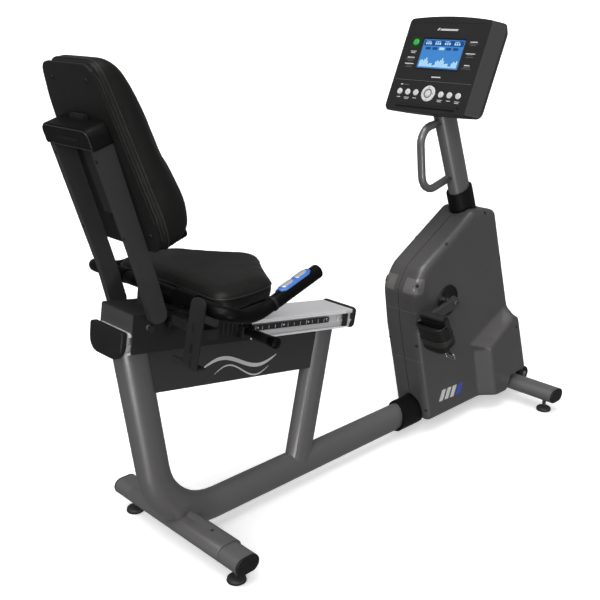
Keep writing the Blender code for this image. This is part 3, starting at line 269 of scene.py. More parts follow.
def make_looks():
    """Fills LOOK from the two tables, and darkens the console's front face."""
    for key, (name, rgb, rough, metal, scale, height, mottle, more) in SURFACES.items():
        LOOK[key] = surface(name, colour(*rgb), rough, metal, scale, height, mottle, **more)
    for key, (name, rgb, strength) in LIT_SURFACES.items():
        LOOK[key] = glowing(name, colour(*rgb), strength)
    two_tone(LOOK["console"], CONSOLE.to_3x3() @ Vector((0, 0, 1)), colour(0.019, 0.018, 0.018))


# ---- making pieces
def mesh_from(name, bm):
    mesh = bpy.data.meshes.new(name)
    bm.to_mesh(mesh)
    bm.free()
    return mesh


def bmesh_of(mesh, weld=False):
    bm = bmesh.new()
    bm.from_mesh(mesh)
    if weld:
        bmesh.ops.remove_doubles(bm, verts=bm.verts[:], dist=1e-5)
    return bm


def finish_piece(name, mesh, look, body, angle=35.0):
    """Turns a mesh into a named, smoothly shaded piece that rides on a body."""
    mesh.materials.clear()
    mesh.materials.append(LOOK[look])
    piece = bpy.data.objects.new(name, mesh)
    bpy.context.scene.collection.objects.link(piece)
    mesh.shade_smooth()
    mesh.set_sharp_from_angle(angle=math.radians(angle))
    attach(piece, body)
    return piece


def from_bmesh(name, bm, look, body, angle=35.0):
    bmesh.ops.recalc_face_normals(bm, faces=bm.faces[:])
    return finish_piece(name, mesh_from(name, bm), look, body, angle)


def loft(name, rings, look, body, where=Matrix(), angle=35.0, closed=False):
    """A skin through rings of points, placed in a local frame. A ring may be a single point, and
    the ends are capped unless the last ring joins the first."""
    bm = bmesh.new()
    rings = [[bm.verts.new(point) for point in ring] for ring in rings]
    for low, high in zip(rings, rings[1:] + rings[:1] if closed else rings[1:]):
        count = max(len(low), len(high))
        for i in range(count):
            j = (i + 1) % count
            if len(low) == 1:
                bm.faces.new((low[0], high[i], high[j]))
            elif len(high) == 1:
                bm.faces.new((low[i], low[j], high[0]))
            else:
                bm.faces.new((low[i], low[j], high[j], high[i]))
    for end in () if closed else (rings[0], rings[-1]):
        if len(end) > 1:
            bm.faces.new(end)
    bmesh.ops.transform(bm, matrix=where, verts=bm.verts[:])
    return from_bmesh(name, bm, look, body, angle)


def bend(before, here, after, radius, steps, share):
    """The points round one corner of a path. It takes at most a share of each side."""
    back = Vector(before) - here
    ahead = Vector(after) - here
    reach = min(radius / math.tan(back.angle(ahead) / 2), back.length * share,
                ahead.length * share)
    start = here + back.normalized() * reach
    end = here + ahead.normalized() * reach
    return [start * (1 - t) ** 2 + here * 2 * t * (1 - t) + end * t ** 2
            for t in [step / steps for step in range(steps + 1)]]


def rounded(corners, steps=4):
    """A closed outline with each corner (x, y, radius) rounded."""
    points = []
    for i, (x, y, radius) in enumerate(corners):
        if radius <= 0.0:
            points.append((x, y))
            continue
        after = corners[(i + 1) % len(corners)]
        points += [tuple(p) for p in bend(corners[i - 1][:2], Vector((x, y)), after[:2], radius,
                                          steps, 0.48)]
    return points


def rectangle(x0, y0, x1, y1, radius=0.0):
    return rounded([(x0, y0, radius), (x1, y0, radius), (x1, y1, radius), (x0, y1, radius)])


def disc(x, y, radius, sides=24):
    turn = 2 * math.pi / sides
    return [(x + radius * math.cos(turn * i), y + radius * math.sin(turn * i))
            for i in range(sides)]


def prism(bm, corners, rise):
    """A closed solid: an outline drawn out along a vector. Returns its points."""
    base = [bm.verts.new(point) for point in corners]
    top = bmesh.ops.extrude_face_region(bm, geom=[bm.faces.new(base)])
    moved = [v for v in top["geom"] if isinstance(v, bmesh.types.BMVert)]
    bmesh.ops.translate(bm, vec=rise, verts=moved)
    return base + moved


def plate(name, outline, low, high, where, look, body, bevel=0.0, steps=2):
    """An outline in a local frame's xy plane, given thickness from low to high along its z."""
    bm = bmesh.new()
    prism(bm, [(x, y, low) for x, y in outline], (0, 0, high - low))
    if bevel:
        rims = [e for e in bm.edges if abs(e.verts[0].co.z - e.verts[1].co.z) < 1e-7]
        bmesh.ops.bevel(bm, geom=rims, offset=bevel, segments=steps, affect='EDGES',
                        clamp_overlap=True)
    bmesh.ops.transform(bm, matrix=where, verts=bm.verts[:])
    return from_bmesh(name, bm, look, body)


def block(name, size, centre, where, look, body, bevel=0.001):
    """A rounded box at a place in a local frame."""
    bm = bmesh.new()
    bmesh.ops.create_cube(bm, size=1.0)
    bmesh.ops.scale(bm, vec=size, verts=bm.verts[:])
    bmesh.ops.bevel(bm, geom=bm.edges[:], offset=bevel, segments=2, affect='EDGES',
                    clamp_overlap=True)
    bmesh.ops.translate(bm, vec=centre, verts=bm.verts[:])
    bmesh.ops.transform(bm, matrix=where, verts=bm.verts[:])
    return from_bmesh(name, bm, look, body)


def facing(point, normal):
    """A local frame at a point whose z looks along a normal."""
    z = Vector(normal).normalized()
    up = Vector((0, 0, 1)) if abs(z.z) <= 0.95 else Vector((1, 0, 0))
    x = up.cross(z).normalized()
    return Matrix.Translation(Vector(point)) @ axes(x, z.cross(x), z)


def turned(name, profile, where, look, body, sides=24, ring=False):
    """A lathe piece: the profile's (radius, height) points turned about a local z axis. A ring's
    last point joins its first, so that it has no disc over its hole."""
    rings = [[(x, y, height) for x, y in disc(0, 0, radius, sides)] if radius else
             [(0, 0, height)] for radius, height in profile]
    loft(name, rings, look, body, where, closed=ring)


def screw(name, point, normal, radius, look, body):
    """A button-head screw with a recessed socket."""
    high = radius * 0.45
    where = facing(point, normal)
    turned(name, [(radius, -radius * 0.3), (radius, high * 0.25), (radius * 0.86, high * 0.75),
                  (radius * 0.60, high), (radius * 0.48, high), (radius * 0.44, high * 0.25),
                  (0.0, high * 0.25)], where, look, body, 20)
    turned(name + "_socket", [(radius * 0.40, high * 0.20), (radius * 0.38, high * 0.34),
                              (0.0, high * 0.34)], where, "hole", body, 6)


def tube(name, points, radius, look, body, sides, closed=False):
    """A round bar swept along points. Its radius is one number, or one for each point."""
    points = [Vector(p) for p in points]
    count = len(points)
    turns = [2 * math.pi * k / sides for k in range(sides)]
    rings = []
    last = None
    for i, here in enumerate(points):
        if closed:
            ahead = points[(i + 1) % count] - points[i - 1]
        else:
            ahead = points[min(i + 1, count - 1)] - points[max(i - 1, 0)]
        ahead.normalize()
        if last is None:
            up = Vector((0, 0, 1)) if abs(ahead.z) < 0.9 else Vector((0, 1, 0))
            side = ahead.cross(up).normalized()
        else:
            side = (last - ahead * last.dot(ahead)).normalized()
        last = side
        over = side.cross(ahead)
        wide = radius[i] if isinstance(radius, list) else radius
        rings.append([here + side * wide * math.cos(a) + over * wide * math.sin(a) for a in turns])
    return loft(name, rings, look, body, angle=50.0, closed=closed)


def smooth_path(points, steps):
    """A curve through points, with its ends carried on straight."""
    points = [Vector(p) for p in points]
    points = [points[0] * 2 - points[1]] + points + [points[-1] * 2 - points[-2]]
    out = []
    for a, b, c, d in zip(points, points[1:], points[2:], points[3:]):
        for t in [step / steps for step in range(steps)]:
            out.append(0.5 * ((2 * b) + (c - a) * t + (2 * a - 5 * b + 4 * c - d) * t * t
                              + (3 * b - a - 3 * c + d) * t ** 3))
    return out + [points[-2]]


# ---- the pieces
FEET = ("rear_foot_right", "rear_foot_left", "front_foot_right", "front_foot_left")


FINISH = {
    "frame_paint": "frame", "panel_paint": "panel", "rail_aluminium": "rail",
    "black_plastic": "black", "black_rubber": "rubber", "strap_rubber": "strap",
    "shroud_plastic": "shroud", "console_plastic": "console", "screen_glass": "screen",
    "key_plastic": "key", "start_plastic": "start", "bare_steel": "steel",
    "crank_steel": "crank", "carriage_paint": "carriage", "black_vinyl": "vinyl",
}


def slots_of(frame):
    """The material slot of each CAD node, by name."""
    return {part["node"]: part["material_slot"] for part in frame["record"]["subparts"]}


def paint_frame(frame):
    """Gives each CAD node its own surface."""
    slots = slots_of(frame)
    for name, node in frame["nodes"].items():
        special = "foot" if name in FEET else "black" if name == "bottle_bracket" else None
        node.data.materials.clear()
        node.data.materials.append(LOOK[special or FINISH[slots[name]]])


ROUND_NODES = ("main_tube", "seat_strut", "mast", "grab_handle", "rear_foot_bar",
               "front_foot_bar", "mast_collar", "spine_collar")


def round_off(frame):
    """Shows the bent tubes and collars smoothly shaded, each by a copy of its own CAD mesh."""
    slots = slots_of(frame)
    for name in ROUND_NODES:
        bm = bmesh_of(frame["nodes"][name].data, weld=True)
        bmesh.ops.dissolve_limit(bm, angle_limit=math.radians(0.3), verts=bm.verts[:],
                                 edges=bm.edges[:])
        piece = finish_piece(name + "_smooth", mesh_from(name + "_smooth", bm),
                             "cap" if slots[name] == "black_plastic" else "frame", "frame", 32.0)
        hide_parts(name)


def add_remesh(piece, size):
    remesh = piece.modifiers.new("remesh", 'REMESH')
    remesh.mode = 'VOXEL'
    remesh.voxel_size = size


def add_relax(piece, iterations):
    relax = piece.modifiers.new("relax", 'SMOOTH')
    relax.factor = 0.5
    relax.iterations = iterations


def inflate(piece, pressure, cap, size):
    """Puffs a padded piece with cloth pressure, limits how far it moved, and applies it."""
    scene = bpy.context.scene
    add_remesh(piece, size)
    apply(piece)
    before = [v.co.copy() for v in piece.data.vertices]
    settings = piece.modifiers.new("cloth", 'CLOTH').settings
    settings.use_pressure = True
    settings.uniform_pressure_force = pressure
    settings.effector_weights.gravity = 0.0
    settings.tension_stiffness = 40
    settings.compression_stiffness = 40
    settings.bending_stiffness = 8
    settings.quality = 5
    scene.frame_start = 1
    scene.frame_end = CLOTH_FRAMES
    for number in range(1, CLOTH_FRAMES + 1):
        scene.frame_set(number)
    apply(piece)
    scene.frame_set(1)
    for vertex, rest in zip(piece.data.vertices, before):
        moved = vertex.co - rest
        if moved.length > cap:
            vertex.co = rest + moved.normalized() * cap
    add_relax(piece, 10)
    apply(piece)


def apply(piece):
    """Replaces a piece's mesh with what its modifiers make of it."""
    bpy.context.view_layer.update()
    graph = bpy.context.evaluated_depsgraph_get()
    made = bpy.data.meshes.new_from_object(piece.evaluated_get(graph))
    piece.modifiers.clear()
    piece.data = made


def seat_cushion(frame):
    """The seat pad, puffed from its CAD solid shrunk a little."""
    mesh = frame["nodes"]["seat_pad"].data.copy()
    mesh.name = "seat_cushion"
    bm = bmesh_of(mesh, weld=True)
    bm.normal_update()
    for vertex, normal in [(v, v.normal.copy()) for v in bm.verts]:
        vertex.co -= normal * SEAT_SHRINK
    bm.to_mesh(mesh)
    bm.free()
    piece = finish_piece("seat_cushion", mesh, "vinyl", "seat")
    return pad_finish(piece, "seat_pad", 3.0, 0.006)


def pad_finish(piece, node, pressure, cap):
    """Puffs and subdivides a pad, which then stands for its CAD solid."""
    inflate(piece, pressure, cap, 0.005)
    piece.modifiers.new("smooth", 'SUBSURF').levels = 1
    piece.modifiers["smooth"].render_levels = 1
    apply(piece)
    piece.data.shade_smooth()
    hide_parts(node)
    return piece


# ---- finding the frame's surfaces
def tree_of(node):
    """A search tree of one node, for setting trim on its surface."""
    bm = bmesh_of(node.data)
    tree = BVHTree.FromBMesh(bm)
    bm.free()
    return tree


def touch(tree, start, toward):
    """Where a straight line first meets a surface, and the surface's normal there."""
    point, normal, _, _ = tree.ray_cast(Vector(start), Vector(toward).normalized())
    if point is not None and normal.dot(Vector(toward)) > 0:
        normal = -normal
    return point, normal


def seam(name, tree, starts, toward, look, body):
    """A thin line laid on a surface."""
    points = [touch(tree, start, toward)[0] for start in starts]
    tube(name, [p for p in points if p is not None], 0.0007, look, body, 6)


def slice_loop(piece, point, normal):
    """The longest closed outline where a plane cuts a piece."""
    bm = bmesh.new()
    bm.from_mesh(piece.data)
    cut = bmesh.ops.bisect_plane(bm, geom=bm.verts[:] + bm.edges[:] + bm.faces[:],
                                 plane_co=point, plane_no=normal, dist=1e-6)
    edges = [e for e in cut["geom_cut"] if isinstance(e, bmesh.types.BMEdge)]
    links = {}
    for edge in edges:
        a, b = edge.verts
        links.setdefault(a, []).append(b)
        links.setdefault(b, []).append(a)
    best = []
    seen = set()
    for start in links:
        if start in seen:
            continue
        loop = [start]
        seen.add(start)
        while True:
            ahead = [v for v in links[loop[-1]] if v not in seen]
            if not ahead:
                break
            loop.append(ahead[0])
            seen.add(ahead[0])
        if len(loop) > len(best):
            best = loop
    points = [v.co.copy() for v in best]
    bm.free()
    return points


def even(points, gap):
    """The same closed outline with its points a fixed gap apart, softened."""
    closed = points + [points[0]]
    lengths = [(b - a).length for a, b in zip(closed, closed[1:])]
    total = sum(lengths)
    count = max(24, int(total / gap))
    out = []
    index = 0
    passed = 0.0
    for i in range(count):
        target = total * i / count
        while passed + lengths[index] < target:
            passed += lengths[index]
            index += 1
        t = (target - passed) / max(lengths[index], 1e-9)
        out.append(closed[index].lerp(closed[index + 1], t))
    for _ in range(3):
        out = [(out[i - 1] + out[i] * 2 + out[(i + 1) % count]) / 4 for i in range(count)]
    return out


def swell(path, out):
    """The same closed outline, moved away from its middle."""
    middle = sum(path, Vector()) / len(path)
    return [p + (p - middle).normalized() * out for p in path]


def pipe_round(name, piece, point, normal, radius, out):
    """Piping sewn round a pad where a plane would cut it."""
    path = swell(even(slice_loop(piece, point, normal), 0.006), out)
    cord = tube(name, path, radius, "piping", "seat", 8, closed=True)


# ---- upholstery
def table(pairs, where):
    """A value read between the points of a short table, easing from one to the next."""
    for (t0, v0), (t1, v1) in zip(pairs, pairs[1:]):
        if where <= t1:
            t = max(0.0, (where - t0) / (t1 - t0))
            return v0 + (v1 - v0) * t
    return pairs[-1][1]


BACK_DEPTH = [(-0.270, 0.060), (-0.250, 0.080), (-0.230, 0.089), (-0.190, 0.094),
              (-0.156, 0.095), (-0.093, 0.093), (0.017, 0.084), (0.095, 0.073),
              (0.135, 0.065), (0.172, 0.050)]
BACK_EDGE = [(0.140, -0.270, 0.045), (0.151, -0.190, 0.100), (0.117, 0.090, 0.120),
             (0.099, 0.172, 0.042)]
BACK_RINGS = [(0.005, 0.0), (0.0, 0.09), (0.0, 0.60), (0.004, 0.75), (0.012, 0.88),
              (0.027, 0.965), (0.050, 1.0), (0.078, 1.01)]
BACK_NEAR = 0.0090


def back_cushion():
    """The back pad: flat on its board, full at the lumbar and slim at the top."""
    corners = BACK_EDGE + [(-y, t, r) for y, t, r in reversed(BACK_EDGE)]
    edge = even([Vector((0, y, t)) for y, t in rounded(corners, 8)], 0.007)
    middle = Vector((0, 0, -0.05))
    rings = []
    for inset, part in BACK_RINGS:
        ring = []
        for point in edge:
            out = point - middle
            spot = middle + out * (1 - inset / out.length)
            spot.x = BACK_NEAR + table(BACK_DEPTH, spot.z) * part
            ring.append(spot)
        rings.append(ring)
    crown = (BACK_NEAR + table(BACK_DEPTH, middle.z) * 1.01, 0, middle.z)
    piece = loft("back_cushion", rings + [[crown]], "vinyl", "seat", BACK)
    return pad_finish(piece, "back_pad", 2.0, 0.003)


def upholster(frame):
    """The two cushions with their piping, and the screws of the back board."""
    seat = seat_cushion(frame)
    back = back_cushion()
    pipe_round("seat_piping_top", seat, place(0.1, 0, 0.7525), (0, 0, 1), 0.0022, 0.0004)
    pipe_round("seat_piping_low", seat, place(0.1, 0, 0.7262), (0, 0, 1), 0.0030, 0.0006)
    ahead = BACK.to_3x3() @ Vector((1, 0, 0))
    for name, depth, radius in (("back_piping_rear", 0.0125, 0.0030),
                                ("back_piping_front", 0.0250, 0.0024)):
        pipe_round(name, back, BACK @ Vector((depth, 0, -0.05)), ahead, radius, 0.0005)
    for index, (y, z) in enumerate([(-0.07, 0.135), (0.07, 0.135), (-0.115, -0.22),
                                    (0.115, -0.22)]):
        screw("board_screw_%d" % (index + 1), BACK @ Vector((0.0004, y, z)), -ahead, 0.0055,
              "black", "seat")


# ---- console
def label(name, u, v, wide, high, look):
    """A thin printed bar on the console's face."""
    plate(name, rectangle(u - wide / 2, v - high / 2, u + wide / 2, v + high / 2), 0.0, 0.0004,
          CONSOLE, look, "frame")


def dress_console(frame):
    """The printed face, with generic marks in place of lettering."""
    ring = CONSOLE @ shift(0.0, 0.056, 0.0)
    label("panel_line_low", 0.0, 0.094, 0.292, 0.0010, "grey_print")
    label("panel_line_top", 0.0, 0.2795, 0.270, 0.0010, "hole")
    for index, u in enumerate((-0.112, -0.080, -0.048, 0.048, 0.080, 0.112)):
        for row in range(1 + index % 2):
            label("key_label_%d_%d" % (index + 1, row), u + 0.001, 0.0385 - row * 0.0045,
                  0.014 + 0.004 * ((index + row) % 2), 0.0020, "print")
        turned("key_face_%d" % (index + 1), [(0.0066, 0.0024), (0.0062, 0.0029), (0.0, 0.0030)],
               CONSOLE @ shift(u, 0.056, 0.0), "print", "key_%d" % (index + 1), 24)
    turned("ring_centre", [(0.0085, 0.0024), (0.0079, 0.0032), (0.0, 0.0036)],
           ring, "key", "select_button", 24)
    turned("ring_band", [(0.0150, 0.0023), (0.0146, 0.0030), (0.0112, 0.0030), (0.0108, 0.0023)],
           ring, "grey_print", "ring_button", 32, ring=True)
    for index in range(4):
        angle = math.pi / 2 * index
        mark = [(0.0215 * math.cos(angle), 0.0215 * math.sin(angle)),
                (0.0180 * math.cos(angle + 0.10), 0.0180 * math.sin(angle + 0.10)),
                (0.0180 * math.cos(angle - 0.10), 0.0180 * math.sin(angle - 0.10))]
        plate("ring_arrow_%d" % (index + 1), mark, 0.0024, 0.0029,
              ring, "grey_print", "ring_button")

    # start key's patch, its label and the generic mark at the top
    plate("start_patch", rectangle(-0.124, 0.196, -0.088, 0.232, 0.004), 0.0, 0.0005, CONSOLE,
          "start_pad", "frame")
    for index, v in enumerate((0.186, 0.181)):
        label("start_label_%d" % (index + 1), -0.106, v, 0.022 - 0.006 * index, 0.0022, "print")
    bar = rounded([(-0.030, 0.2545, 0.002), (0.036, 0.2545, 0.004), (0.041, 0.2600, 0.004),
                   (-0.024, 0.2600, 0.002)])
    plate("mark_bar", bar, 0.0, 0.0005, CONSOLE, "print", "frame")
    dash = rounded([(-0.040, 0.2545, 0.001), (-0.034, 0.2545, 0.001), (-0.028, 0.2625, 0.001),
                    (-0.034, 0.2625, 0.001)])
    plate("mark_dash", dash, 0.0, 0.0005, CONSOLE, "print", "frame")
    label("mark_low", 0.010, 0.1080, 0.034, 0.0036, "print")
    label("mark_left", -0.112, 0.0790, 0.008, 0.0036, "print")
    label("mark_left_2", -0.094, 0.0790, 0.020, 0.0018, "grey_print")

    # blocks of small print on both sides of the screen
    for side in (-1, 1):
        for group, top in enumerate((0.166, 0.146) if side < 0 else (0.222, 0.186, 0.150)):
            for row in range(3):
                wide = (0.026, 0.034, 0.020)[(row + group) % 3]
                label("note_%d_%d_%d" % (side + 1, group, row), side * 0.109, top - row * 0.0052,
                      wide, 0.0016 if row else 0.0028, "grey_print" if row else "print")

    # reading ledge along the bottom, and the socket beside it
    plate("ledge_groove", rectangle(-0.113, 0.0160, 0.113, 0.0205, 0.002), 0.0, 0.0004, CONSOLE,
          "hole", "frame")
    plate("ledge_lip", rectangle(-0.113, 0.0105, 0.113, 0.0155, 0.002), -0.0004, 0.0045, CONSOLE,
          "console", "frame", 0.0012)
    turned("socket_ring", [(0.0048, 0.0), (0.0046, 0.0012), (0.0032, 0.0014), (0.0028, 0.0003),
                           (0.0, 0.0003)],
           CONSOLE @ shift(0.124, 0.020, 0.0), "black", "frame", 20)
    dress_screen(frame)


def dress_screen(frame):
    """Made-up blocks and columns of light on the screen."""
    inside = CONSOLE.inverted()
    corners = [inside @ v.co for v in frame["nodes"]["console_screen"].data.vertices]
    top = max(c.z for c in corners)
    low = min(c.y for c in corners)
    high = max(c.y for c in corners)
    half = max(abs(c.x) for c in corners)

    def bit(name, u0, v0, u1, v1, look, level=1):
        plate(name, rectangle(u0, v0, u1, v1, 0.0006), top, top + 0.0002 * level, CONSOLE, look,
              "frame")

    bit("screen_band", -half + 0.003, high - 0.020, half - 0.003, high - 0.003, "screen_dark")
    for index in range(4):
        u = -half + 0.010 + index * 0.036
        bit("screen_caption_%d" % (index + 1), u, high - 0.0075, u + 0.018, high - 0.0055,
            "screen_light", 2)
        for digit in range(3):
            d = u + digit * 0.0080
            bit("screen_digit_%d_%d" % (index, digit), d, high - 0.0165, d + 0.0052,
                high - 0.0098, "screen_light", 2)
    for index in range(5):
        u = -half + 0.014 + index * 0.026
        bit("screen_readout_%d" % (index + 1), u, high - 0.0330, u + 0.019, high - 0.0245,
            "screen_light" if index == 2 else "screen_dark")
    columns = 26
    step = (2 * half - 0.012) / columns
    for index in range(columns):
        u = -half + 0.006 + index * step
        rise = 0.016 + 0.009 * math.sin(index * 0.55) + 0.005 * math.sin(index * 1.7 + 1)
        bit("screen_column_%02d" % (index + 1), u, low + 0.004, u + step * 0.86,
            low + 0.004 + rise, "screen_light")
    frame_out = rectangle(-half - 0.004, low - 0.004, half + 0.004, high + 0.004, 0.004)
    path = [CONSOLE @ Vector((x, y, 0.0003)) for x, y in frame_out]
    tube("screen_bezel", path, 0.0012, "black", "frame", 8, closed=True)


# ---- pedals
def dress_pedal(side, sign):
    """A pedal with treads, its wide moulded strap and the strap's wire buckle."""
    body = "pedal_" + side
    reach = sign * CRANK_LENGTH
    where = at(CRANK[0] + reach * math.cos(CRANK_DROP), sign * PEDAL_Y,
               CRANK[2] + reach * math.sin(CRANK_DROP)) @ spin(PEDAL_TILT, 'Y')
    outline = rounded([(0.058, -0.012, 0.008), (0.058, 0.012, 0.008), (0.040, 0.0125, 0.004),
                       (-0.040, 0.0125, 0.006), (-0.056, 0.016, 0.006), (-0.058, -0.010, 0.006),
                       (-0.036, -0.0145, 0.004), (0.040, -0.0145, 0.004)])
    base = plate("pedal_body_" + side, outline, -0.047, 0.047, where @ spin(90, 'X'), "black",
                 body, 0.003)
    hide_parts("pedal_" + side)
    for index in range(7):
        for face, z in (("top", 0.0132), ("low", -0.0150)):
            block("pedal_tread_%s_%s_%d" % (side, face, index + 1), (0.004, 0.080, 0.0030),
                  (-0.036 + index * 0.012, 0.0, z), where, "rubber", body)
    for end in (-1, 1):
        block("pedal_cheek_%s_%d" % (side, end + 2), (0.100, 0.005, 0.024),
              (0.0, end * 0.0465, -0.001), where, "black", body, 0.0022)
    turned("pedal_cap_" + side, [(0.0100, 0.0), (0.0096, 0.0035), (0.0060, 0.0055), (0.0, 0.0060)],
           where @ shift(0, sign * 0.049, 0) @ spin(-90 * sign, 'X'), "black", body)

    def arch(name, x0, x1, inner, outer, look):
        """A band over the foot, from one cheek of the pedal to the other."""
        middle = (x0 + x1) / 2
        rows = []
        for i in range(ARCH_STEPS + 1):
            t = math.pi * i / ARCH_STEPS
            wide = abs(math.cos(t)) ** 0.55 * math.copysign(1, math.cos(t))
            high = math.sin(t) ** 0.62
            rows.append([(middle + (x - middle) * (0.55 + 0.45 * high), wide * (0.0485 + gap),
                          0.004 + (ARCH_RISE + gap) * high)
                         for x, gap in ((x0, inner), (x1, inner), (x1, outer), (x0, outer))])
        piece = loft(name, rows, look, body, where, 40.0)
        bevel = piece.modifiers.new("bevel", 'BEVEL')
        bevel.width = 0.0008
        bevel.segments = 2
        apply(piece)
        return piece

    strap = arch("pedal_strap_wide_" + side, -0.062, 0.046, 0.0008, 0.0038, "strap")
    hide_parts("pedal_strap_" + side)
    arch("pedal_strap_band_" + side, -0.034, -0.012, 0.0038, 0.0056, "strap_band")
    arch("pedal_strap_rib_" + side, -0.058, -0.054, 0.0038, 0.0052, "strap_band")
    arch("pedal_strap_rib_2_" + side, 0.036, 0.040, 0.0038, 0.0052, "strap_band")

    # the strap's free end hangs past the pedal and carries the wire buckle
    lead = sign * 0.030
    tail = smooth_path([(-0.050, lead, 0.010), (-0.062, lead, 0.016), (-0.074, lead, 0.017),
                        (-0.086, lead, 0.013)], 4)
    loft("pedal_strap_tail_" + side, [[point + Vector((0, y, z)) for y, z in
           ((-0.010, -0.0012), (0.010, -0.0012), (0.010, 0.0012), (-0.010, 0.0012))]
          for point in tail], "strap", body, where)
    ring = [where @ Vector((x - 0.094, y + lead, 0.012)) for x, y in
            rectangle(-0.012, -0.017, 0.012, 0.017, 0.006)]
    tube("pedal_buckle_" + side, ring, 0.0022, "buckle", body, 10, closed=True)
    bar = [where @ Vector((-0.094, lead + y, 0.012)) for y in (-0.016, 0.0, 0.016)]
    tube("pedal_buckle_bar_" + side, bar, 0.0014, "buckle", body, 8)


def dress_crank(side, sign):
    """A crank's pedal, and the nut and boss that hold it on its shaft."""
    dress_pedal(side, sign)
    hub = facing(place(CRANK[0], sign * 0.1045, CRANK[2]), (0, sign, 0))
    turned("crank_nut_" + side, [(0.0125, -0.002), (0.0125, 0.0030), (0.0105, 0.0045),
                                 (0.0060, 0.0045), (0.0055, 0.0015), (0.0, 0.0015)],
           hub, "crank", "crank", 6)
    turned("crank_boss_" + side, [(0.0210, -0.016), (0.0210, -0.0145), (0.0165, -0.0120),
                                  (0.0165, -0.001)], hub, "crank", "crank", 32)


# ---- handlebar
def rounded_path(corners):
    """A path in space whose inner corners (point, radius) are rounded."""
    out = [Vector(corners[0][0])]
    for (before, _), (here, radius), (after, _) in zip(corners, corners[1:], corners[2:]):
        out += bend(before, here, after, radius, 10, 0.49)
    return out + [Vector(corners[-1][0])]


def dress_handlebar():
    """The bar round the seat with its grips, heart-rate pods and ribbed sleeves."""
    half = [((0.238, 0.270, 0.7835), 0.0), ((0.036, 0.272, 0.718), 0.11),
            ((-0.056, 0.284, 0.748), 0.06)]
    corners = [(place(x, -y, z), r) for (x, y, z), r in half]
    corners += [(place(-0.056, 0.0, 0.752), 0.5)]
    corners += [(place(x, y, z), r) for (x, y, z), r in reversed(half)]
    bar = tube("handlebar_tube", rounded_path(corners), 0.0165, "grip", "seat", 28)
    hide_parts("handlebar")
    for side, sign in SIDES:
        low = place(0.036, sign * 0.272, 0.718)
        high = place(0.240, sign * 0.270, 0.784)
        along = (high - low).normalized()
        start = low + along * 0.060
        tip = high + along * 0.001
        steps = [i / GRIP_STEPS for i in range(GRIP_STEPS + 1)]
        points = [start.lerp(tip, t) for t in steps]
        radii = [0.0165 + 0.0012 * min(1.0, t * 12) for t in steps]
        for past, radius in ((0.0020, 0.0168), (0.0038, 0.0148), (0.0050, 0.0110),
                             (0.0056, 0.0050)):
            points.append(tip + along * past)
            radii.append(radius)
        tube("grip_" + side, points, radii, "grip", "seat", 32)
        tube("grip_ring_" + side, [start + along * step for step in (-0.003, 0.001, 0.004)],
             0.0186, "black", "seat", 32)

        # the heart-rate pod: a blue saddle on the bar's upper, inner side with two plates
        inward = Vector((0, -sign, 0))
        up = inward.cross(along) if inward.cross(along).z > 0 else along.cross(inward)
        facing_out = (up * 0.92 + inward * 0.38).normalized()
        across = along.cross(facing_out).normalized()
        middle = low.lerp(high, 0.655)
        saddle("sensor_pod_" + side, middle, along, across, facing_out, 0.050, 62.0,
               0.0178, 0.0228, "sensor_blue")
        for part, away in (("front", 0.0225), ("rear", -0.0225)):
            saddle("sensor_plate_%s_%s" % (part, side), middle + along * away, along, across,
                   facing_out, 0.0175, 40.0, 0.0222, 0.0240, "sensor_plate")

    # ribbed sleeves on the cross bar, beside the posts
    for side, sign in SIDES:
        for index in range(12):
            y = 0.106 + index * 0.0064
            turned("sleeve_rib_%s_%02d" % (side, index + 1),
                   [(0.0160, -0.0026), (0.0185, -0.0020), (0.0185, 0.0020), (0.0160, 0.0026)],
                   facing(place(-0.056, sign * y, 0.7515), (0, 1, 0)), "grip", "seat", 28)


def saddle(name, middle, along, across, out, half_length, half_angle, inner, outer, look):
    """A curved cover over part of a bar, with rounded corners."""
    bm = bmesh.new()
    steps = 14
    ends = 10
    grid = []
    for i in range(ends + 1):
        t = -1 + 2 * i / ends
        row = []
        squeeze = math.sqrt(max(0.0, 1 - max(0.0, abs(t) - 0.72) ** 2 / 0.0784 * 0.55))
        for k in range(steps + 1):
            a = math.radians(half_angle) * (-1 + 2 * k / steps) * squeeze
            edge = 1 - 0.35 * (abs(-1 + 2 * k / steps) ** 6) - 0.35 * abs(t) ** 10
            radius = inner + (outer - inner) * edge
            row.append(bm.verts.new(middle + along * half_length * t
                                    + (out * math.cos(a) + across * math.sin(a)) * radius))
        grid.append(row)
    for low, high in zip(grid, grid[1:]):
        for k in range(steps):
            bm.faces.new((low[k], low[k + 1], high[k + 1], high[k]))
    rim = [e for e in bm.edges if len(e.link_faces) == 1]
    drop = bmesh.ops.extrude_edge_only(bm, edges=rim)
    for vertex in [v for v in drop["geom"] if isinstance(v, bmesh.types.BMVert)]:
        offset = vertex.co - middle
        level = along * offset.dot(along)
        vertex.co = middle + level + (offset - level).normalized() * (inner - 0.0015)
    return from_bmesh(name, bm, look, "seat", angle=50.0)


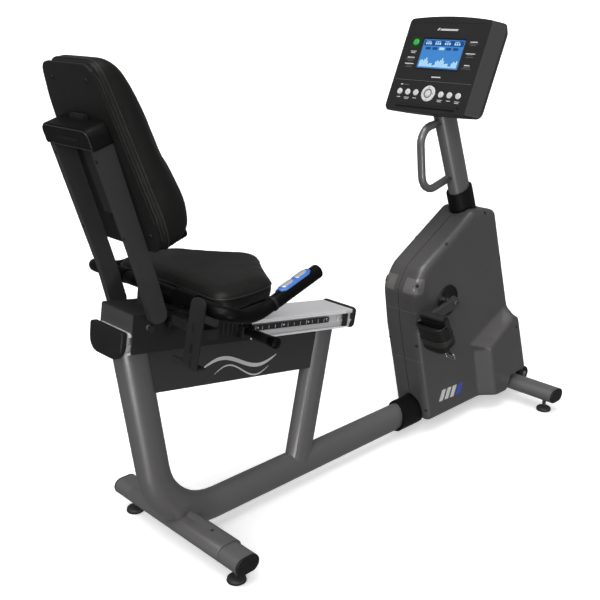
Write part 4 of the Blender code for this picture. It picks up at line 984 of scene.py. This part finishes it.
# ---- seat rail
def dress_rail():
    """Painted highlights on the lips, a printed scale and small fittings along both sides of the
    rail.
    """
    for side, sign in SIDES:
        flat = RAIL @ shift(0, sign * RAIL_HALF, 0) @ spin(90, 'X')
        out0, out1 = (0.0, 0.0012) if sign < 0 else (-0.0012, 0.0)
        # near-white strips along the upper lip and the lower edge: painted highlights
        for name, low, high in (("top", -0.0105, -0.0010), ("low", -0.0530, -0.0490)):
            plate("rail_lip_%s_%s" % (name, side), rectangle(0.004, low, 0.750, high, 0.0008),
                  out0, out1, flat, "rail_painted_highlight", "frame", 0.0004)
        strip = rounded([(0.060, -0.0145, 0.001), (0.668, -0.0145, 0.001), (0.682, -0.0145, 0.007),
                         (0.682, -0.0305, 0.007), (0.668, -0.0305, 0.001),
                         (0.060, -0.0305, 0.001)])
        plate("rail_scale_" + side, strip, out0 * 0.6, out1 * 0.6, flat, "black", "frame")
        for index in range(24):
            s = 0.120 + index * 0.0235
            high = -0.0165 if index % 4 == 0 else -0.0185
            plate("rail_tick_%s_%02d" % (side, index + 1),
                  rectangle(s - 0.0006, -0.0285, s + 0.0006, high), out0 * 0.9, out1 * 0.9, flat,
                  "print", "frame")
            if index % 4 == 0:
                plate("rail_spot_%s_%02d" % (side, index + 1), disc(s + 0.008, -0.0225, 0.0026, 16),
                      out0 * 0.9, out1 * 0.9, flat, "print", "frame")
        point = RAIL @ Vector((0.673, sign * (RAIL_HALF + 0.0008), -0.0225))
        screw("rail_screw_" + side, point, (0, sign, 0), 0.0050, "steel", "frame")
        # a near-white crescent: a painted highlight
        moon = disc(0.7215, -0.0255, 0.0060)[3:21] + disc(0.7240, -0.0255, 0.0046)[21:3:-1]
        plate("rail_crescent_" + side, moon, out0 * 0.6, out1 * 0.6, flat, "rail_painted_highlight", "frame")
        plate("rail_insert_" + side, rectangle(0.738, -0.0480, 0.7600, -0.0110, 0.002),
              out0 * 0.8, out1 * 0.8, flat, "black", "frame")
    # end cap's slots at the rear
    rear = RAIL @ shift(-0.0284, 0, 0) @ spin(-90, 'Y')
    for index, z in enumerate((-0.026, -0.044)):
        plate("cap_slot_%d" % (index + 1), rectangle(z - 0.005, -0.0025, z + 0.005, 0.0025, 0.002),
              -0.0010, 0.0004, rear, "hole", "frame")


# ---- carriage, posts, bracket
def dress_carriage():
    """The sheet, bolts, ribs and boxes of the carriage under the seat."""
    rear = RAIL @ shift(0.0115, 0, 0) @ spin(-90, 'Y')
    sheet = rounded([(-0.004, -0.067, 0.003), (0.043, -0.067, 0.006), (0.043, 0.067, 0.006),
                     (-0.004, 0.067, 0.003)])
    plate("carriage_rear_sheet", sheet, -0.0005, 0.0012, rear, "sheet", "seat", 0.0005)
    for side, sign in SIDES:
        for index, (s, z, radius) in enumerate([(0.055, 0.012, 0.0090), (0.262, 0.022, 0.0062),
                                                (0.340, 0.030, 0.0062), (0.205, -0.036, 0.0050),
                                                (0.350, -0.040, 0.0045)]):
            screw("carriage_bolt_%s_%d" % (side, index + 1),
                  RAIL @ Vector((s, sign * CARRIAGE_HALF, z)), (0, sign, 0), radius,
                  "carriage_light", "seat")
    for index in range(6):
        block("carriage_rib_%d" % (index + 1), (0.0045, 0.0030, 0.052),
              (0.282 + index * 0.0155, -0.0712, -0.004), RAIL, "carriage", "seat", 0.0012)
    for name, size, centre, look, bevel in (
            ("carriage_pad_front", (0.060, 0.0035, 0.030), (0.235, -0.0715, 0.012),
             "carriage_light", 0.0015),
            ("carriage_latch", (0.030, 0.010, 0.022), (0.352, -0.0760, -0.022), "black", 0.0030),
            ("bracket_arm_box", (0.052, 0.020, 0.022), (0.158, -0.0830, 0.020),
             "carriage_light", 0.0030)):
        block(name, size, centre, RAIL, look, "seat", bevel)
    for index in range(7):
        turned("arm_ring_%d" % (index + 1),
               [(0.0085, -0.0016), (0.0100, -0.0010), (0.0100, 0.0010), (0.0085, 0.0016)],
               facing(RAIL @ Vector((0.100 + index * 0.0042, -0.0825, 0.020)),
                      RAIL.to_3x3() @ Vector((1, 0, 0))), "black", "seat", 20)


def dress_posts(frame):
    """The posts' cap, their holes and the channel that carries the pad."""
    # the cap: a hood with rounded upper corners, a lip round its rear face and a slot
    side_on = BACK @ spin(-90, 'Y')
    hood = rounded([(0.0015, -0.098, 0.004), (0.0495, -0.098, 0.036), (0.0495, 0.098, 0.036),
                    (0.0015, 0.098, 0.004)], 8)
    cap = plate("cap_hood", hood, 0.0008, 0.0520, side_on, "cap", "seat", 0.004, 3)
    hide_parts("back_cap")
    rim = rounded([(0.0045, -0.0945, 0.004), (0.0460, -0.0945, 0.033), (0.0460, 0.0945, 0.033),
                   (0.0045, 0.0945, 0.004)], 8)
    tube("cap_lip", [side_on @ Vector((x, y, 0.0520)) for x, y in rim], 0.0013, "cap_edge",
         "seat", 8, closed=True)
    plate("cap_slot_rear", rectangle(0.019, -0.046, 0.027, 0.036, 0.003), 0.0512, 0.0524, side_on,
          "hole", "seat")
    for side, sign in SIDES:
        tree = tree_of(frame["nodes"]["back_post_" + side])
        for index, (z, radius) in enumerate(((1.082, 0.0045), (0.905, 0.0040))):
            point, normal = touch(tree, place(-0.6, sign * 0.085, z), (1, 0, 0))
            if point is not None:
                turned("post_hole_%s_%d" % (side, index + 1),
                       [(radius, -0.0010), (radius, 0.0004), (radius * 0.6, 0.0004), (0.0, 0.0)],
                       facing(point, normal), "hole", "seat", 16)
    block("carrier_channel", (0.014, 0.060, 0.240), (-0.0070, 0.0, -0.060), BACK, "black", "seat",
          0.003)


def dress_bracket(frame):
    """Slots of the bottle bracket's plate."""
    tree = tree_of(frame["nodes"]["bottle_bracket"])
    for index, z in enumerate((0.735, 0.690, 0.655)):
        point, normal = touch(tree, place(-0.25, -0.214, z), (1, 0, -0.16))
        if point is not None:
            plate("bracket_slot_%d" % (index + 1),
                  rectangle(-0.0035, -0.013, 0.0035, 0.013, 0.003), -0.0004, 0.0004,
                  facing(point, normal), "hole", "seat")


# ---- drive housing
COVER_CORE = [(1.284, 0.727, 0.02), (1.174, 0.746, 0.02), (0.921, 0.597, 0.07),
              (0.881, 0.533, 0.04), (0.902, 0.402, 0.0), (0.986, 0.059, 0.01),
              (1.372, 0.059, 0.01), (1.391, 0.117, 0.0), (1.488, 0.122, 0.0),
              (1.396, 0.390, 0.0)]
SWELL_CORE = [(1.262, 0.256, 0.0), (1.272, 0.266, 0.0), (1.383, 0.333, 0.0),
              (1.404, 0.330, 0.0), (1.478, 0.124, 0.0), (1.388, 0.119, 0.0),
              (1.370, 0.068, 0.0), (1.310, 0.068, 0.0)]


def housing_skin(frame):
    """One moulded skin over the two covers, with their edges and the swelling softened."""
    bm = bmesh.new()
    for side, _ in reversed(SIDES):
        bm.from_mesh(frame["nodes"]["shroud_" + side].data)
    for corners, low, high in ((COVER_CORE, -0.064, 0.064), (SWELL_CORE, 0.045, 0.110),
                               (SWELL_CORE, -0.110, -0.045)):
        points = prism(bm, [place(x, low, z) for x, z in rounded(corners)], (0, high - low, 0))
        faces = {f for v in points for f in v.link_faces}
        bmesh.ops.recalc_face_normals(bm, faces=list(faces))
    skin = finish_piece("housing_skin", mesh_from("housing_skin", bm), "shroud", "frame")
    add_remesh(skin, 0.0042)
    add_relax(skin, 14)
    apply(skin)
    mesh = skin.data
    mesh.shade_smooth()
    # faces round the upper rear corners take a lighter, glossier material: a painted reflection of
    # light on the corner
    mesh.materials.append(LOOK["boss_painted_reflection"])
    low = place(0.0, 0.0, 0.525)
    high = place(0.918, 0.0, 0.572)
    for face in mesh.polygons:
        x, y, z = face.center
        if low.z < z < high.z and x < high.x and abs(y) > 0.018:
            face.material_index = 1
    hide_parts("shroud_left", "shroud_right")
    path = swell(even(slice_loop(skin, Vector((0, 0.0003, 0)), (0, 1, 0)), 0.005), 0.0003)
    tube("housing_joint", path, 0.0006, "hole", "frame", 6, closed=True)
    return skin


def dress_housing(frame):
    """The housing's skin with its screws, bosses, lines, crank recesses and badge."""
    tree = tree_of(housing_skin(frame))
    for side, sign in SIDES:
        for index, (x, z, size) in enumerate([(1.031, 0.664, 0.0040), (1.227, 0.735, 0.0040),
                                              (0.885, 0.344, 0.0042), (0.952, 0.094, 0.0040),
                                              (1.330, 0.560, 0.0040), (1.400, 0.300, 0.0040)]):
            point, normal = touch(tree, place(x, sign * 0.3, z), (0, -sign, 0))
            if point is None:
                point, normal = touch(tree, place(x - 0.2, sign * 0.2, z),
                                      (0.2 + 0.035, -sign * 0.15, 0))
            if point is None:
                continue
            turned("housing_screw_%s_%d" % (side, index + 1),
                   [(size * 1.35, -0.001), (size * 1.35, 0.0004), (size, 0.0006),
                    (size * 0.9, -0.0010), (0.0, -0.0010)], facing(point, normal), "hole",
                   "frame", 20)
            turned("housing_screw_head_%s_%d" % (side, index + 1),
                   [(size * 0.72, -0.001), (size * 0.66, 0.0003), (0.0, 0.0005)],
                   facing(point, normal), "black", "frame", 12)

        # the boss on the upper rear corner
        point, normal = touch(tree, place(0.60, sign * 0.062, 0.553), (1, 0, 0))
        if point is not None:
            turned("boss_ring_" + side, [(0.0125, -0.0010), (0.0120, 0.0008), (0.0070, 0.0010),
                                         (0.0062, -0.0015), (0.0, -0.0015)],
                   facing(point, normal), "shroud", "frame", 28)
            turned("boss_hole_" + side, [(0.0062, -0.0015), (0.0060, 0.0004), (0.0, 0.0)],
                   facing(point, normal), "hole", "frame", 20)

        # moulding lines round the rear edge
        for index, z in enumerate((0.462, 0.283)):
            starts = [place(0.80, sign * (0.002 + 0.0045 * k), z) for k in range(15)]
            seam("housing_line_%s_%d" % (side, index + 1), tree, starts, (1, 0, 0),
                 "shroud_line", "frame")

        # recess round the crank and its dark backing
        for index, (wide, y, thick) in enumerate(((0.0500, 0.0706, 0.0016),
                                                  (0.0470, 0.0704, 0.0010))):
            path = [place(x, sign * y, z) for x, z in disc(CRANK[0], CRANK[2], wide, 48)]
            tube("crank_ring_%s_%d" % (side, index + 1), path, thick, "black", "frame", 8,
                 closed=True)
        turned("crank_dish_" + side, [(0.0500, -0.0030), (0.0490, -0.0006), (0.0460, -0.0012),
                                      (0.0300, -0.0040), (0.0130, -0.0045), (0.0130, -0.0080),
                                      (0.0490, -0.0070)],
               facing(place(CRANK[0], sign * SHROUD_HALF, CRANK[2]), (0, sign, 0)),
               "black", "frame", 48, ring=True)

    # a generic badge: slanted bars, one of them blue
    flat = at(0, -SHROUD_HALF, 0) @ spin(90, 'X') @ spin(-3, 'Z')
    for index, (x, wide, look) in enumerate([(1.020, 0.020, "print"), (1.050, 0.020, "print"),
                                            (1.080, 0.020, "print"), (1.112, 0.024, "blue_print")]):
        bar = rounded([(x, 0.166, 0.003), (x + wide, 0.166, 0.003),
                       (x + wide + 0.014, 0.206, 0.003), (x + 0.014, 0.206, 0.003)])
        plate("badge_bar_%d" % (index + 1), bar, 0.0, 0.0007, flat, look, "frame")


# ---- frame trim
def dress_frame(frame):
    """The panel's ribbon, and the fittings of the foot bars, wheels and lever."""
    for side, sign in SIDES:
        where = at(0, sign * PANEL_HALF, 0) @ spin(90, 'X')
        low, high = (0.0, 0.0006) if sign < 0 else (-0.0006, 0.0)
        for index, (drop, thick, start, end) in enumerate([(0.0, 0.012, 0.070, 0.330),
                                                           (0.026, 0.005, 0.110, 0.300)]):
            top = []
            bottom = []
            for t in [k / 24 for k in range(25)]:
                x = start + (end - start) * t
                z = 0.500 - drop + 0.020 * math.sin(math.pi * 2 * t) - 0.030 * t
                half = thick * (0.15 + 0.85 * math.sin(math.pi * t) ** 0.6)
                top.append((x, z + half / 2))
                bottom.append((x, z - half / 2))
            plate("panel_ribbon_%s_%d" % (side, index + 1), bottom + top[::-1], low, high, where,
                  "print", "frame")
    # bolts through the saddle plates on the rear bar
    trees = [tree_of(frame["nodes"][name]) for name in ("rear_foot_bar", "main_tube")]
    for side, sign in SIDES:
        hits = [touch(tree, place(0.004, sign * 0.128, 0.3), (0, 0, -1)) for tree in trees]
        point, normal = max([hit for hit in hits if hit[0] is not None], key=lambda hit: hit[0].z)
        screw("saddle_bolt_" + side, point, normal, 0.0055, "panel", "frame")
    # adjusting nuts over the feet
    for end, x in (("rear", 0.0), ("front", 1.4416)):
        for side, sign in SIDES:
            foot = "%s_foot_%s" % (end, side)
            here = at(x, sign * 0.228, 0)
            turned("foot_nut_%s_%s" % (end, side), [(0.0, 0.0395), (0.0105, 0.0395),
                                                    (0.0105, 0.0450), (0.0, 0.0450)],
                   here, "steel", foot, 6)
            turned("foot_ring_%s_%s" % (end, side), [(0.0255, 0.002), (0.0262, 0.004),
                                                     (0.0255, 0.006)], here, "rubber", foot, 32)
    # hub caps of the transport wheels
    for side, sign in SIDES:
        turned("wheel_hub_" + side, [(0.0100, -0.0005), (0.0096, 0.0020), (0.0050, 0.0030),
                                     (0.0, 0.0032)],
               facing(place(1.516, sign * 0.092, 0.078), (0, sign, 0)), "steel",
               "transport_wheel_" + side, 24)
    # release lever's knob
    tip = place(0.1718, -0.200, 0.5954)
    turned("lever_knob", [(0.0100, 0.048), (0.0112, 0.042), (0.0142, 0.020), (0.0158, 0.008),
                          (0.0145, 0.001), (0.0100, -0.0025), (0.0, -0.0035)],
           facing(tip, (0, 1, 0)), "grip", "release_lever", 28)


# ---- the studio
def set_stage(name, bm, mat):
    """A part of the studio that only the camera sees: it sheds no light or shade on the bike."""
    mesh = mesh_from(name, bm)
    mesh.materials.append(mat)
    thing = bpy.data.objects.new(name, mesh)
    bpy.context.scene.collection.objects.link(thing)
    thing.visible_glossy = False
    thing.visible_diffuse = False
    thing.visible_shadow = False


def build_studio():
    """The white floor and backdrop, the soft suns and the camera."""
    scene = bpy.context.scene
    scene.view_settings.view_transform = 'Standard'
    white = colour(1.0, 1.0, 1.0)
    world = bpy.data.worlds.new("studio")
    world.use_nodes = True
    world.node_tree.nodes["Background"].inputs["Color"].default_value = white
    world.node_tree.nodes["Background"].inputs["Strength"].default_value = 0.17
    scene.world = world

    bm = bmesh.new()
    bmesh.ops.create_circle(bm, cap_ends=True, segments=64, radius=64.0)
    paper = surface("white_floor", colour(0.93, 0.93, 0.93), 0.8, 0.0, 3.0, 0.0001, specular=0.0)
    glow = paper.node_tree.nodes["Principled BSDF"].inputs
    glow["Emission Color"].default_value = white
    glow["Emission Strength"].default_value = 0.45
    set_stage("studio_floor", bm, paper)
    bm = bmesh.new()
    bmesh.ops.create_icosphere(bm, subdivisions=4, radius=60.0)
    set_stage("studio_backdrop", bm, glowing("white_backdrop", white, 1.0))

    for name, strength, toward, soft in (("key", 2.0, (0.30, 0.12, -1.0), 45),
                                         ("rear", 1.1, (1.0, 0.45, -0.60), 25),
                                         ("side", 0.40, (0.15, 1.0, -0.45), 60),
                                         ("low", 0.60, (0.35, 0.85, 0.38), 12)):
        data = bpy.data.lights.new(name, 'SUN')
        data.energy = strength
        data.angle = math.radians(soft)
        lamp = bpy.data.objects.new(name, data)
        lamp.rotation_mode = 'QUATERNION'
        lamp.rotation_quaternion = Vector(toward).to_track_quat('-Z', 'Y')
        scene.collection.objects.link(lamp)

    data = bpy.data.cameras.new("camera")
    data.lens = LENS
    data.sensor_width = 36.0
    camera = bpy.data.objects.new("camera", data)
    back = Vector((math.sin(CAMERA_TURN) * math.cos(CAMERA_RISE),
                   -math.cos(CAMERA_TURN) * math.cos(CAMERA_RISE), math.sin(CAMERA_RISE)))
    right = Vector((math.cos(CAMERA_TURN), math.sin(CAMERA_TURN), 0.0))
    camera.matrix_world = at(*CAMERA_AT) @ axes(right, back.cross(right), back)
    scene.collection.objects.link(camera)
    scene.camera = camera


def main():
    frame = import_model()
    make_looks()
    build_studio()
    paint_frame(frame)
    round_off(frame)
    upholster(frame)
    dress_console(frame)
    for side, sign in SIDES:
        dress_crank(side, sign)
    dress_handlebar()
    dress_rail()
    dress_carriage()
    dress_posts(frame)
    dress_bracket(frame)
    dress_housing(frame)
    dress_frame(frame)


main()
